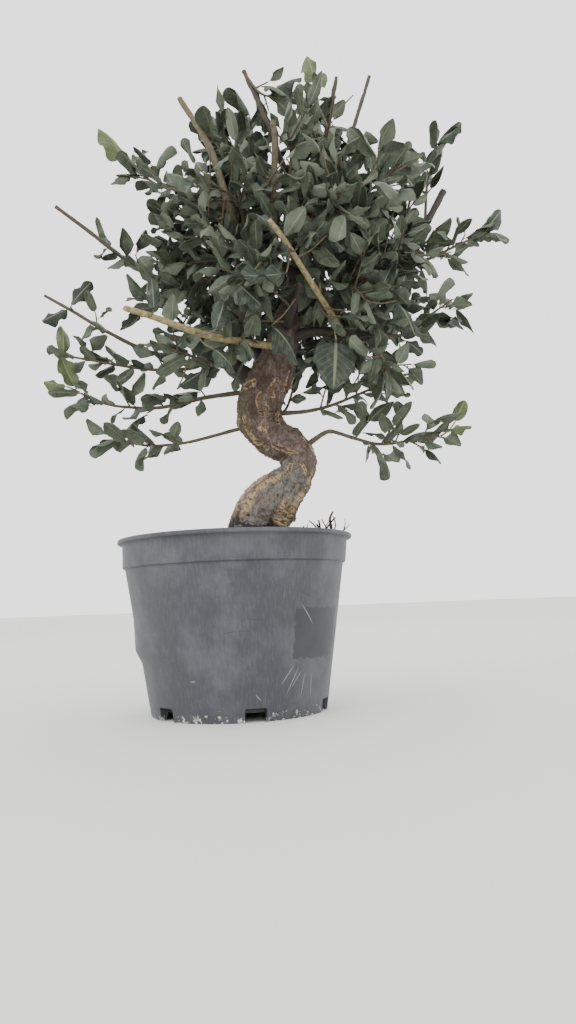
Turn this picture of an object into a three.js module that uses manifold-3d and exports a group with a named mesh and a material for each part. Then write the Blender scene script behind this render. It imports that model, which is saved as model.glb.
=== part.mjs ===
// A cork oak bonsai with a winding corky trunk, in a round plastic nursery pot.
// Millimetres, +Z up. The plant is drawn about the pot's axis and then shifted as a whole, so that the
// origin lies on the table below the middle of the plant. The side that it is viewed from faces -Y.
import * as THREE from "three";
import { mergeVertices } from "three/addons/utils/BufferGeometryUtils.js";
import Module from "manifold-3d";

const wasm = await Module();
wasm.setup();

// ---- Driving dimensions ----

const PLANT_SHIFT = [-43.5, 6.5, 0]; // from the pot's axis to the middle of the plant's footprint, reversed
const GAP = 0.4; // between pieces that touch

const POT = {
  height: 138,
  lipRadius: 95,
  lipHeight: 3.5,
  collarRadius: 91.3, // under the lip
  collarFootRadius: 89.3, // at the ledge
  collarHeight: 19,
  ledge: 2, // the wall steps in by this below the collar
  footRadius: 69.6,
  wall: 2,
  footWidth: 4, // of the ring that it stands on
  plateZ: 6, // underside of the base plate
  plate: 2.5,
  sides: 32,
};
const NOTCH = { count: 6, width: 16, height: 10, depth: 8, phase: 13 }; // drain notches, degrees from -Y
// Where the wall is pressed out at one side: [height, how far], fading round the pot.
const BULGE = {
  angle: 186,
  spread: 36,
  out: [[-1, 0.8], [41, 1], [51, 4.6], [76, 1.9], [116, 2], [132, 0]],
};
const SOIL = { clear: 0.8, edgeZ: 131, mound: 19, moundSpread: 27, bump: 1.6 };

// The trunk's centreline and its diameters, from the roots in the soil to the crown.
const TRUNK = {
  path: [
    [19, 0, 104], [19, 0, 134], [22, 0, 153], [32, -3, 168], [44, -5, 179], [52, -5, 190],
    [55, -3, 201], [49, 1, 212], [38, 5, 220], [28, 7, 230], [23, 7, 241], [24, 5, 252],
    [29, 2, 266], [38, 0, 283], [46, -2, 306], [54, 0, 333],
  ],
  thick: [30, 50, 47, 44, 34, 28, 28, 29, 32, 35, 37, 37, 36, 32, 26, 19],
  sides: 16,
  steps: 30,
};

// Boughs that are bare wood, some of them pruned to sticks that stand out of the crown.
const BOUGHS = {
  leader: {
    path: [
      [46, -2, 306], [54, 0, 333], [61, 4, 362], [68, 8, 393], [79, 8, 434], [89, 4, 483],
      [95, -12, 510], [100, -18, 531],
    ],
    thick: [20, 3.6],
  },
  left: {
    path: [
      [30, 2, 262], [7, 10, 282], [-16, 20, 304], [-39, 30, 317], [-60, 34, 326],
    ],
    thick: [24, 6],
  },
  leftBack: {
    path: [
      [34, 0, 276], [11, 50, 329], [-6, 80, 384],
    ],
    thick: [15, 5],
  },
  right: {
    path: [
      [44, -2, 302], [70, -10, 308], [96, -22, 300], [118, -28, 298],
    ],
    thick: [13, 5],
  },
  rightRising: {
    path: [
      [52, 0, 327], [87, 8, 342], [119, 18, 360], [148, 22, 381], [177, 26, 417], [196, 28, 449],
    ],
    thick: [13, 7],
  },
  back: {
    path: [
      [52, 0, 326], [63, 50, 362], [73, 92, 408],
    ],
    thick: [13, 5],
  },
  backRight: {
    path: [
      [58, 3, 349], [96, 50, 378], [131, 84, 410],
    ],
    thick: [10, 4.5],
  },
  backTop: {
    path: [
      [61, 5, 365], [56, 60, 439], [54, 85, 509],
    ],
    thick: [9, 4],
  },
  front: {
    path: [
      [48, -2, 313], [53, -40, 314], [60, -75, 321],
    ],
    thick: [11, 4.5],
  },
  leftStick: {
    path: [
      [61, 4, 362], [35, -16, 373], [13, -40, 378], [7, -60, 393], [-7, -62, 443], [-30, -58, 488],
    ],
    thick: [11, 5.2],
  },
  middleStick: {
    path: [
      [65, 7, 377], [49, -42, 381], [42, -68, 389], [45, -80, 433], [44, -82, 450],
    ],
    thick: [8, 5.4],
  },
  topLeftStick: {
    path: [
      [74, 8, 414], [53, -12, 451], [39, -30, 483], [21, -34, 528],
    ],
    thick: [7, 4],
  },
  topRightStick: {
    path: [
      [69, 8, 395], [92, 20, 436], [113, 24, 499], [134, 24, 561],
    ],
    thick: [8, 3.6],
  },
};
const BOUGH_SIDES = 5;
const STEM_SIDES = 3;
const TWIG_SIDES = 3;
const CLEAR = 0.4; // kept free round every twig and blade

// Leafy stems that stand clear of the crown or show in front of it: where each runs, how thick it is,
// how far along it is bare, how many side twigs it has and how long those are. A rod that was pruned is
// bare again from leafyTo on. Single leaves that hang on a stalk of their own are given as
// [where along the stem, blade's foot, blade's tip, width].
const STEMS = {
  low_left: {
    path: [
      [27, 4, 233], [4, 2, 230], [-36, -6, 219], [-70, -14, 216], [-99, -20, 224],
    ],
    thick: [5, 2], bare: 0.5, twigs: 3, twig: 14,
  },
  left: {
    path: [
      [22, 6, 264], [-22, 4, 259], [-58, 0, 251], [-85, -4, 251], [-105, -8, 254], [-124, -10, 263],
    ],
    thick: [5.4, 2], bare: 0.22, twigs: 5, twig: 20,
  },
  left_fork: {
    path: [
      [-16, 20, 304], [-31, 14, 289], [-69, 6, 286], [-113, -4, 292], [-134, -10, 295],
    ],
    thick: [5, 2.2], bare: 0.3, twigs: 4, twig: 18,
  },
  left_inner: {
    path: [
      [-28, 26, 311], [-38, -8, 320], [-50, -26, 326], [-64, -36, 331],
    ],
    thick: [4, 2], bare: 0.2, twigs: 4, twig: 30,
  },
  left_front: {
    path: [
      [7, 10, 282], [-10, -28, 277], [-30, -50, 279], [-50, -58, 286],
    ],
    thick: [4, 2], bare: 0.2, twigs: 4, twig: 28,
  },
  left_rod: {
    path: [
      [-38, 30, 316], [-62, 12, 301], [-100, -6, 315], [-128, -12, 332], [-152, -16, 346],
    ],
    thick: [4.6, 3], bare: 0.55, twigs: 2, twig: 12, leafyTo: 0.66,
    leaves: [
      [0.8, [-131, -16, 335], [-114, -14, 359], 12], [0.8, [-131, -16, 334], [-153, -20, 323], 11],
    ],
  },
  upper_left_rod: {
    path: [
      [-16, 20, 304], [-32, 16, 352], [-73, 4, 372], [-115, -10, 403], [-142, -18, 423],
    ],
    thick: [6, 3.6], bare: 0.3, twigs: 4, twig: 20, leafyTo: 0.74,
  },
  front_left_rod: {
    path: [
      [45, -6, 297], [-6, -70, 285], [-45, -125, 282], [-58, -145, 280],
    ],
    thick: [7, 4.4], bare: 0.3, twigs: 4, twig: 14, leafyTo: 0.42,
  },
  front_rod: {
    path: [
      [96, -22, 300], [67, -75, 325], [49, -108, 341], [39, -125, 347],
    ],
    thick: [6, 4.6], bare: 0.25, twigs: 3, twig: 14, leafyTo: 0.5,
    leaves: [[0.2, [86, -60, 284], [82, -71, 242], 32]],
  },
  low_right: {
    path: [
      [52, -2, 206], [76, -6, 222], [89, -8, 221], [120, -12, 210], [155, -14, 213],
      [170, -14, 214],
    ],
    thick: [6, 2], bare: 0.4, twigs: 6, twig: 24,
  },
  right: {
    path: [
      [29, 4, 243], [60, 6, 244], [87, 8, 250], [121, 12, 264], [140, 12, 270],
    ],
    thick: [5.4, 2], bare: 0.35, twigs: 6, twig: 30,
  },
  beside_trunk: {
    path: [
      [30, 8, 240], [46, 24, 252], [56, 30, 284],
    ],
    thick: [4, 2], bare: 0.4, twigs: 2, twig: 18,
  },
  far_right: {
    path: [
      [148, 22, 381], [173, 14, 378], [199, 8, 387], [224, 0, 394],
    ],
    thick: [4.4, 2], bare: 0.2, twigs: 5, twig: 22,
    leaves: [[0.98, [223, 0, 395], [240, -2, 417], 12]],
  },
  upper_right: {
    path: [
      [177, 26, 417], [180, 20, 452], [186, 18, 472], [190, 16, 488],
    ],
    thick: [3.6, 1.8], bare: 0.25, twigs: 3, twig: 18,
    leaves: [[0.97, [190, 16, 487], [211, 12, 502], 12]],
  },
  inner_right: {
    path: [
      [119, 18, 360], [150, 6, 400], [161, 4, 430], [163, 4, 446],
    ],
    thick: [4, 1.8], bare: 0.15, twigs: 5, twig: 24,
  },
  upper_left: {
    path: [
      [7, -60, 393], [-20, -52, 410], [-48, -42, 423], [-70, -34, 442],
    ],
    thick: [4, 1.8], bare: 0.15, twigs: 5, twig: 24,
  },
  right_mid: {
    path: [
      [118, -28, 298], [141, -24, 297], [163, -20, 312], [187, -16, 329],
    ],
    thick: [4.4, 2], bare: 0.1, twigs: 5, twig: 28,
  },
  right_under: {
    path: [
      [100, -23, 300], [120, -38, 280], [128, -44, 258],
    ],
    thick: [4, 2], bare: 0.25, twigs: 4, twig: 26,
  },
  top_left: {
    path: [
      [21, -34, 527], [33, -36, 507], [44, -36, 502],
    ],
    thick: [3, 1.8], bare: 0.4, twigs: 2, twig: 16,
    leaves: [[0.9, [41, -36, 503], [67, -36, 526], 14]],
  },
  top: {
    path: [
      [89, 4, 483], [83, 10, 511], [81, 10, 532],
    ],
    thick: [3.2, 1.8], bare: 0.1, twigs: 4, twig: 20,
  },
};

// Young shoots at the ends of some stems, with pale new leaves, each placed singly.
const SHOOTS = {
  left: {
    path: [
      [-124.6, -10, 263.5], [-129, -11, 266], [-134, -12, 268],
    ],
    leaves: [
      [0.4, [-127, -11, 266], [-140, -14, 292], 15], [0.95, [-134, -12, 268], [-154, -12, 274], 9],
    ],
  },
  left_fork: {
    path: [
      [-134.7, -10, 295.2], [-137, -10, 296], [-141, -11, 297],
    ],
    leaves: [[0.5, [-138, -10, 296.5], [-138, -12, 323], 11]],
  },
  low_right: {
    path: [
      [170.7, -14, 214.3], [177, -14, 218], [183, -14, 225],
    ],
    leaves: [
      [0.95, [183, -14, 225], [192, -16, 243], 11], [0.45, [177, -14, 218], [195, -18, 224], 10],
    ],
  },
  upper_left: {
    path: [
      [-70.5, -34, 442.6], [-76, -34, 446], [-82, -34, 452],
    ],
    leaves: [
      [0.9, [-81, -34, 451], [-94, -40, 484], 17], [0.5, [-76, -33, 446], [-62, -30, 464], 9],
    ],
  },
  upper_right: {
    path: [
      [163, 4, 446.7], [163, 4, 450], [162, 4, 454],
    ],
    leaves: [
      [0.7, [162, 4, 452], [150, 2, 471], 11], [0.95, [162, 4, 454], [170, 6, 474], 9],
    ],
  },
  top: {
    path: [
      [81, 10, 532.7], [82, 9, 538], [83, 8, 543],
    ],
    leaves: [
      [0.95, [83, 8, 543], [78, 7, 576], 13], [0.5, [82, 9, 538], [94, 12, 558], 10],
    ],
  },
};
const SHOOT_THICK = [1.9, 1.6];

// The crown is filled by sprays that reach out evenly from the boughs to a ball-shaped outline, which
// is flattened at its upper right.
const CROWN = {
  centre: [66, 0, 388],
  reach: [116, 112, 120],
  sprays: 28,
  lowest: -0.85,
  flatSide: [0.76, 0, 0.65],
  flattened: 0.24,
};
const SPRAY = { thick: [3.8, 1.8], bare: 0.3, twigs: 7, twig: 42 };
const ROOT_APART = 7; // between the roots of two sprays
const STEM_CLEAR = 5.5; // between a spray's stem and other wood // between a spray's stem and other wood

const LEAF = { length: 25, width: 14, thick: 0.7, pitch: 8, open: 58, openAtTip: 28 };
const STALK = 1.5;
const GOLDEN_ANGLE = 137.508;
const TWIGS_KEPT = 2; // one side twig in this many is drawn
const LEAVES_KEPT = 6; // one leaf in this many is drawn, and the last of each twig
const SEED = 4711;
const SMALLEST_EDGE = 0.02; // slivers shorter than this that a join leaves are closed up

// ---- Numbers and vectors ----

let state = SEED;
let counted = 0;
function random() {
  state = (state * 48271) % 2147483647;
  return state / 2147483647;
}

const add = (a, b, k = 1) => a.map((v, i) => v + b[i] * k);
const sub = (a, b) => a.map((v, i) => v - b[i]);
const dot = (a, b) => a[0] * b[0] + a[1] * b[1] + a[2] * b[2];
const cross = (a, b) => [a[1] * b[2] - a[2] * b[1], a[2] * b[0] - a[0] * b[2], a[0] * b[1] - a[1] * b[0]];
const length = (a) => Math.sqrt(dot(a, a));
const unit = (a) => a.map((v) => v / length(a));
const radians = (degrees) => (degrees * Math.PI) / 180;
const mix = (a, b, t) => a + (b - a) * t;

// ---- How a plant grows: the same rule gives every stem, twig and leaf its place ----

// The point on a smooth curve through a path, t from 0 to 1.
function onCurve(path, t) {
  const last = path.length - 1;
  const i = Math.min(Math.floor(t * last), last - 1);
  const u = t * last - i;
  const before = i > 0 ? path[i - 1] : add(path[0], sub(path[0], path[1]));
  const after = i + 2 <= last ? path[i + 2] : add(path[last], sub(path[last], path[last - 1]));
  return path[i].map((p1, k) => {
    const [p0, p2, p3] = [before[k], path[i + 1][k], after[k]];
    const [slope, bend, twist] = [p2 - p0, 2 * p0 - 5 * p1 + 4 * p2 - p3, 3 * p1 - p0 - 3 * p2 + p3];
    return 0.5 * (2 * p1 + slope * u + bend * u * u + twist * u * u * u);
  });
}

const stations = (path, count) => Array.from({ length: count + 1 }, (_, i) => onCurve(path, i / count));

// The point and the direction at a share of a polyline's length.
function along(line, share) {
  const lengths = line.slice(1).map((p, i) => length(sub(p, line[i])));
  let left = share * lengths.reduce((a, b) => a + b, 0);
  let i = 0;
  while (i < lengths.length - 1 && left > lengths[i]) {
    left -= lengths[i];
    i += 1;
  }
  const direction = unit(sub(line[i + 1], line[i]));
  return { point: add(line[i], direction, left), direction };
}

const lineLength = (line) => line.slice(1).reduce((sum, p, i) => sum + length(sub(p, line[i])), 0);

// A direction square to the stem, turned round it by an angle in degrees.
function around(direction, angle) {
  const reference = Math.abs(direction[2]) > 0.9 ? [1, 0, 0] : [0, 0, 1];
  const side = unit(cross(direction, reference));
  const up = cross(side, direction);
  return add(side.map((v) => v * Math.cos(radians(angle))), up, Math.sin(radians(angle)));
}

// Leaves stand spirally along a stem, and the blade turns its face up and away from the crown's middle.
function leavesAlong(line, from, size, leafyTo = 1) {
  const total = lineLength(line);
  const count = Math.max(1, Math.round((total * (1 - from)) / LEAF.pitch));
  const leaves = [];
  const turn = 360 * random();
  for (let i = 0; i <= count; i += 1) {
    const share = mix(from, 1, (i + 0.4) / (count + 0.4));
    const [swing, grow, lift, roll] = [random(), random(), random(), random()];
    const { point, direction } = along(line, Math.min(share, 0.995));
    const outward = around(direction, turn + GOLDEN_ANGLE * i + 30 * (swing - 0.5));
    const open = radians(mix(LEAF.open, LEAF.openAtTip, i / count) + 16 * (lift - 0.5));
    const heading = unit(add(direction.map((v) => v * Math.cos(open)), outward, Math.sin(open)));
    const away = unit(sub(point, CROWN.centre));
    const light = [
      0.35 * away[0] + 0.9 * (roll - 0.5),
      0.45 * away[1] + 0.9 * (swing - 0.5),
      0.75 + 0.2 * away[2],
    ];
    const normal = unit(sub(light, heading.map((v) => v * dot(light, heading))));
    const scale = size * mix(0.72, 1.18, grow);
    if (share > leafyTo) continue;
    leaves.push({
      base: point,
      heading,
      normal,
      length: LEAF.length * scale,
      width: LEAF.width * scale * mix(0.85, 1.1, roll),
      wave: lift,
      kept: i === count || counted % LEAVES_KEPT === 0,
    });
    counted += 1;
  }
  return leaves;
}

// A leaf that is placed singly, with the stalk that holds it clear of the stem.
function singleLeaf(line, [share, foot, tip, width]) {
  const root = along(line, share).point;
  const heading = unit(sub(tip, foot));
  const facing = [0.15, -0.75, 0.45];
  const normal = unit(sub(facing, heading.map((v) => v * dot(facing, heading))));
  const long = length(sub(tip, foot));
  const leaf = { base: foot, heading, normal, length: long, width, wave: 0.6, kept: true };
  return { line: [root, add(foot, heading, 1)], thick: [STALK, STALK], leaves: [leaf] };
}

// A stem with its side twigs. Each twig leaves at an angle, rises towards the light and bears leaves.
function grow(name, stem) {
  const line = stations(stem.path, 2 * (stem.path.length - 1));
  const leafyTo = stem.leafyTo ?? 1;
  const own = leavesAlong(line, Math.max(stem.bare, 0.3), 1, leafyTo);
  const parts = [{ line, thick: stem.thick, leaves: own }];
  for (let i = 0; i < stem.twigs; i += 1) {
    const kept = i % TWIGS_KEPT === TWIGS_KEPT - 1;
    const share = mix(stem.bare, 0.93, (i + 0.5) / stem.twigs);
    const [swing, reach, lift] = [random(), random(), random()];
    const { point, direction } = along(line, share);
    const outward = around(direction, GOLDEN_ANGLE * i + 72 * swing + 40);
    const heading = unit(add(add(direction.map((v) => v * 0.6), outward, 0.8), [0, 0, 0.3 + 0.2 * lift]));
    const size = stem.twig * mix(1, 0.62, share) * mix(0.8, 1.2, reach);
    const twig = [point, add(point, heading, size)];
    const leaves = leavesAlong(twig, 0.28, 0.95);
    if (kept && share <= leafyTo) parts.push({ line: twig, thick: [1.9, 1.6], leaves });
  }
  const singles = (stem.leaves ?? []).map((leaf) => singleLeaf(line, leaf));
  return { name: `leafy_stem_${name}`, look: "leaf", parts: [...parts, ...singles] };
}

function growShoot(name, { path, leaves }) {
  const stem = { line: path, thick: SHOOT_THICK, leaves: [] };
  const singles = leaves.map((leaf) => singleLeaf(path, leaf));
  return { name: `young_shoot_${name}`, look: "young", parts: [stem, ...singles] };
}

// Points close together on a bough, with the wood's radius there.
function boughPoints({ path, thick }) {
  const count = 6 * (path.length - 1);
  const radius = (i) => mix(thick[0], thick[1], i / count) / 2;
  return stations(path, count).map((point, i) => ({ point, radius: radius(i) }));
}

// Roots, middles and tips for the sprays that fill the crown. Each starts in the nearest free wood.
function crownSprays() {
  const wood = Object.values(BOUGHS).map(boughPoints);
  const roots = wood.flatMap((points, bough) => points.slice(3).map((p) => ({ ...p, bough })));
  const taken = Object.values(STEMS).flatMap((stem) => stations(stem.path, 24));
  const used = Object.values(STEMS).map((stem) => stem.path[0]);
  const sprays = {};
  for (let i = 0; i < CROWN.sprays; i += 1) {
    const height = 1 - (2 * (i + 0.5)) / CROWN.sprays;
    const angle = radians(GOLDEN_ANGLE * i + 20);
    const flat = Math.sqrt(1 - height * height);
    const heading = [flat * Math.cos(angle), flat * Math.sin(angle), height];
    const reach = mix(0.9, 1.06, random());
    if (height < CROWN.lowest) continue;
    const size = 1 - CROWN.flattened * Math.max(0, dot(heading, CROWN.flatSide)) ** 2;
    const at = (k) => CROWN.centre.map((c, n) => c + CROWN.reach[n] * heading[n] * size * k);
    const inner = at(0.45);
    const nearest = roots
      .map((root) => ({ ...root, far: length(sub(root.point, inner)) }))
      .sort((a, b) => a.far - b.far);
    const start = nearest.find(({ point, bough }) => {
      if (used.some((other) => length(sub(other, point)) < ROOT_APART)) return false;
      const line = stations([point, at(0.7), at(reach)], 24).slice(4);
      const others = wood.filter((_, n) => n !== bough).flat();
      const near = (p, o, radius) => length(sub(o, p)) < radius + STEM_CLEAR;
      const hitsWood = line.some((p) => others.some((o) => near(p, o.point, o.radius)));
      return !hitsWood && !line.some((p) => taken.some((o) => near(p, o, 0)));
    });
    if (!start) continue;
    const path = [start.point, at(0.7), at(reach)];
    used.push(start.point);
    taken.push(...stations(path, 24));
    sprays[`crown_${String(i + 1).padStart(2, "0")}`] = { path, ...SPRAY };
  }
  return sprays;
}

// ---- Solids ----

function solid(geometry) {
  const bare = geometry.clone();
  bare.deleteAttribute("normal");
  bare.deleteAttribute("uv");
  const merged = mergeVertices(bare, 1e-4);
  return new wasm.Manifold(
    new wasm.Mesh({
      numProp: 3,
      vertProperties: new Float32Array(merged.attributes.position.array),
      triVerts: new Uint32Array(merged.index.array),
    }),
  );
}

function geometryOf(body) {
  const mesh = body.getMesh();
  const geometry = new THREE.BufferGeometry();
  geometry.setAttribute("position", new THREE.BufferAttribute(new Float32Array(mesh.vertProperties), 3));
  geometry.setIndex(new THREE.BufferAttribute(new Uint32Array(mesh.triVerts), 1));
  geometry.computeVertexNormals();
  return geometry;
}

const joined = (solids) => wasm.Manifold.union(solids);
const largest = (body) => body.decompose().sort((a, b) => b.volume() - a.volume())[0];
const cleaned = (body) => largest(body.simplify(SMALLEST_EDGE));

// A round limb along a line of points. radius(share, angle) may swell it or groove it.
function limb(line, sides, radius) {
  const steps = line.length - 1;
  const geometry = new THREE.CylinderGeometry(1, 1, 1, sides, steps);
  const tangents = line.map((_, i) => unit(sub(line[Math.min(i + 1, steps)], line[Math.max(i - 1, 0)])));
  let normal = around(tangents[0], 0);
  const frames = tangents.map((tangent) => {
    normal = unit(sub(normal, tangent.map((v) => v * dot(normal, tangent))));
    return { normal, binormal: cross(tangent, normal) };
  });
  const position = geometry.attributes.position;
  for (let i = 0; i < position.count; i += 1) {
    const [x, y, z] = [position.getX(i), position.getY(i), position.getZ(i)];
    const step = Math.round((0.5 - y) * steps);
    const { normal: n, binormal: b } = frames[step];
    const r = radius(step / steps, Math.atan2(x, z));
    const point = add(add(line[step], n, x * r), b, z * r);
    position.setXYZ(i, ...point);
  }
  return solid(geometry);
}

const tapered = ([thick, thin], more = 0) => (share) => mix(thick, thin, share) / 2 + more;

// A cork oak's bark: long twisting ridges with furrows between them, broken up along the trunk.
function barkRelief(share, angle) {
  const ridges = Math.cos(5 * angle + 9 * share) + 0.6 * Math.cos(8 * angle - 14 * share + 1.3);
  const knots = Math.sin(31 * share + 2 * angle) + Math.sin(53 * share - 3 * angle);
  return 0.045 * ridges + 0.022 * knots;
}

function trunkLimb(more = 0) {
  const line = stations(TRUNK.path, TRUNK.steps);
  const thick = (share) => {
    const at = share * (TRUNK.thick.length - 1);
    const i = Math.min(Math.floor(at), TRUNK.thick.length - 2);
    return mix(TRUNK.thick[i], TRUNK.thick[i + 1], at - i);
  };
  const radius = (share, angle) => (thick(share) / 2) * (1 + barkRelief(share, angle)) + more;
  return limb(line, TRUNK.sides, radius);
}

function boughLimbs(more = 0) {
  return Object.values(BOUGHS).map(({ path, thick }) =>
    limb(stations(path, Math.max(4, path.length)), BOUGH_SIDES, tapered(thick, more)),
  );
}

const woodSolid = (more = 0) => joined([trunkLimb(more), ...boughLimbs(more)]);

// A leathery blade with a waved, blunt-cornered edge. Both faces are split alike.
function leafBlade({ base, heading, normal, length: long, width, wave }, more = 0) {
  const side = cross(heading, normal);
  const rise = 0.06 * long * mix(0.4, 1.2, wave);
  const outline = [
    [0, 0, 0],
    [0.36, 0.5, -rise], [0.74, 0.42, 0.3 * rise],
    [1, 0.03, -0.5 * rise],
    [0.7, -0.46, -1.2 * rise], [0.32, -0.45, -0.3 * rise],
  ];
  const half = LEAF.thick / 2 + more;
  const place = ([s, w, h], up) =>
    add(add(add(base, heading, s * long), side, w * width), normal, h + up * half);
  const vertices = [...outline.map((p) => place(p, 1)), ...outline.map((p) => place(p, -1))];
  const count = outline.length;
  const face = [[0, 1, 5], [1, 4, 5], [1, 2, 4], [2, 3, 4]];
  const faces = face.flatMap(([a, b, c]) => [[a, b, c], [count + a, count + c, count + b]]);
  for (let i = 0; i < count; i += 1) {
    const next = (i + 1) % count;
    faces.push([i, count + i, count + next], [i, count + next, next]);
  }
  const geometry = new THREE.BufferGeometry();
  geometry.setAttribute("position", new THREE.Float32BufferAttribute(vertices.flat(), 3));
  geometry.setIndex(faces.flat());
  return solid(geometry);
}

function meets(a, b) {
  const [p, q] = [a.boundingBox(), b.boundingBox()];
  const apart = [0, 1, 2].some((k) => p.min[k] > q.max[k] || q.min[k] > p.max[k]);
  return !apart && !a.intersect(b).isEmpty();
}

// One leafy stem as one body. What would cross another stem, or wood that it doesn't grow from, is
// left out.
function leafyStem({ parts }, wood, placed) {
  const own = [];
  const stems = [];
  const blades = [];
  const free = (body) => !meets(body, wood) && ![...placed, ...blades].some((other) => meets(body, other));
  parts.forEach(({ line, thick, leaves }, n) => {
    const sides = n === 0 ? STEM_SIDES : TWIG_SIDES;
    const fatter = limb(line, sides, tapered(thick, CLEAR));
    if (n > 0 && !free(fatter)) return;
    const kept = leaves.filter((leaf) => {
      const fatBlade = leafBlade(leaf, CLEAR);
      const keep = leaf.kept && free(fatBlade);
      if (keep) blades.push(fatBlade);
      return keep;
    });
    if (n > 0 && !kept.length) return;
    own.push(limb(line, sides, tapered(thick)), ...kept.map((leaf) => leafBlade(leaf)));
    stems.push(fatter);
  });
  placed.push(...stems, ...blades);
  return own;
}

// ---- The pieces ----

function lathe(profile, sides) {
  const geometry = new THREE.LatheGeometry(profile.map(([r, z]) => new THREE.Vector2(r, z)), sides);
  geometry.rotateX(Math.PI / 2);
  return geometry;
}

// At one side the thin wall is pressed out, down to a crease above the foot.
function bulged(geometry) {
  const position = geometry.attributes.position;
  for (let i = 0; i < position.count; i += 1) {
    const [x, y, z] = [position.getX(i), position.getY(i), position.getZ(i)];
    const r = Math.hypot(x, y);
    const n = BULGE.out.findLastIndex(([height]) => height <= z);
    if (r < POT.footRadius * 0.9 || n === BULGE.out.length - 1) continue;
    const [[low, before], [high, after]] = BULGE.out.slice(n, n + 2);
    const turn = Math.atan2(y, x) * (180 / Math.PI) - BULGE.angle;
    const aside = (turn - 360 * Math.round(turn / 360)) / BULGE.spread;
    const out = mix(before, after, (z - low) / (high - low)) * Math.exp(-aside * aside);
    position.setXY(i, x * (1 + out / r), y * (1 + out / r));
  }
  return geometry;
}

const bendZ = BULGE.out.slice(1, 4).map(([z]) => z);
const ledgeZ = POT.height - POT.lipHeight - POT.collarHeight;
const wallSlope = (POT.collarFootRadius - POT.ledge - POT.footRadius) / ledgeZ;
const outerWall = (z) => POT.footRadius + wallSlope * z;
const innerWall = (z) => outerWall(z) - POT.wall;

function nurseryPot() {
  const lipFoot = POT.height - POT.lipHeight;
  const plateTop = POT.plateZ + POT.plate;
  const foot = POT.footRadius - POT.footWidth;
  const profile = [
    [0, POT.plateZ], [foot - 2, POT.plateZ], [foot, 0], [POT.footRadius, 0],
    ...bendZ.map((z) => [outerWall(z), z]),
    [outerWall(ledgeZ - 1), ledgeZ - 1], [POT.collarFootRadius, ledgeZ], [POT.collarRadius, lipFoot],
    [POT.lipRadius, lipFoot], [POT.lipRadius, POT.height], [POT.collarRadius - POT.wall, POT.height],
    [POT.collarFootRadius - POT.wall, ledgeZ + 1], [innerWall(ledgeZ - 3), ledgeZ - 3],
    ...bendZ.toReversed().map((z) => [innerWall(z), z]),
    [innerWall(plateTop), plateTop], [0, plateTop],
  ];
  const body = solid(bulged(lathe(profile, POT.sides)));
  const notches = Array.from({ length: NOTCH.count }, (_, i) => {
    const box = new THREE.BoxGeometry(NOTCH.width, 2 * NOTCH.depth, 2 * NOTCH.height);
    box.translate(0, -POT.footRadius, 0);
    box.rotateZ(radians(NOTCH.phase + (360 / NOTCH.count) * i));
    return solid(box);
  });
  return body.subtract(joined(notches));
}

const soilTop = (x, y) => {
  const [cx, cy] = TRUNK.path[1];
  const far = Math.hypot(x - cx, y - cy);
  const lumps = Math.sin(0.21 * x + 1.1) * Math.cos(0.17 * y) + 0.6 * Math.sin(0.33 * y + 0.29 * x);
  return SOIL.edgeZ + SOIL.mound * Math.exp(-((far / SOIL.moundSpread) ** 2)) + SOIL.bump * lumps;
};

// Potting mix that fills the pot and is heaped against the trunk, with dry root bits lying at one side.
function pottingSoil() {
  const low = POT.plateZ + POT.plate + GAP;
  const edge = SOIL.edgeZ;
  const rim = innerWall(edge) - 1.5;
  const rings = [0.8, 0.56, 0.32, 0];
  const profile = [
    [0, low], [innerWall(low) - SOIL.clear, low], ...bendZ.map((z) => [innerWall(z) - SOIL.clear, z]),
    [rim, edge - 4], [rim, edge], ...rings.map((k) => [rim * k, edge]),
  ];
  const geometry = bulged(lathe(profile, POT.sides));
  const position = geometry.attributes.position;
  for (let i = 0; i < position.count; i += 1) {
    const [x, y, z] = [position.getX(i), position.getY(i), position.getZ(i)];
    if (z > edge - 1) position.setZ(i, soilTop(x, y));
  }
  const bits = [[80, -30, 12, 24], [76, -38, 9, -30], [82, -22, 8, 60]].map(([x, y, high, lean]) => {
    const foot = [x * 0.93, y * 0.93, soilTop(x, y) - 4];
    const tip = add(foot, [high * Math.sin(radians(lean)), 2, high + 4]);
    return limb([foot, tip], 4, tapered([4, 1.6]));
  });
  const hole = trunkLimb(GAP);
  return joined([solid(geometry), ...bits]).subtract(joined([hole, hole.translate(0, 0, -GAP)]));
}

// ---- The plant ----

const COLOURS = { pot: 0x4a4c52, soil: 0x33291f, bark: 0x6f6252, leaf: 0x3f5144, young: 0x8fa06a };
const material = (color, roughness) => new THREE.MeshStandardMaterial({ color, roughness, metalness: 0 });
const finish = {
  pot: material(COLOURS.pot, 0.6),
  soil: material(COLOURS.soil, 1),
  bark: material(COLOURS.bark, 0.9),
  leaf: material(COLOURS.leaf, 0.55),
  young: material(COLOURS.young, 0.55),
};

const plant = new THREE.Group();
plant.position.set(...PLANT_SHIFT);
function show(name, body, look) {
  const mesh = new THREE.Mesh(geometryOf(cleaned(body)), look);
  mesh.name = name;
  plant.add(mesh);
}

const wood = woodSolid();
const woodClearance = woodSolid(GAP);
show("nursery_pot", nurseryPot(), finish.pot);
show("potting_soil", pottingSoil(), finish.soil);
show("trunk", wood, finish.bark);

// The shoots come first, so that the leaves of the stems below them keep clear of them.
const placed = [];
const shoots = Object.entries(SHOOTS).map(([name, shoot]) => growShoot(name, shoot));
const stems = Object.entries({ ...STEMS, ...crownSprays() }).map(([name, stem]) => grow(name, stem));
[...shoots, ...stems].forEach((stem) => {
  const pieces = leafyStem(stem, wood, placed);
  show(stem.name, joined(pieces).subtract(woodClearance), finish[stem.look]);
});

const part = new THREE.Group();
part.add(plant);
export default part;
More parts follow.
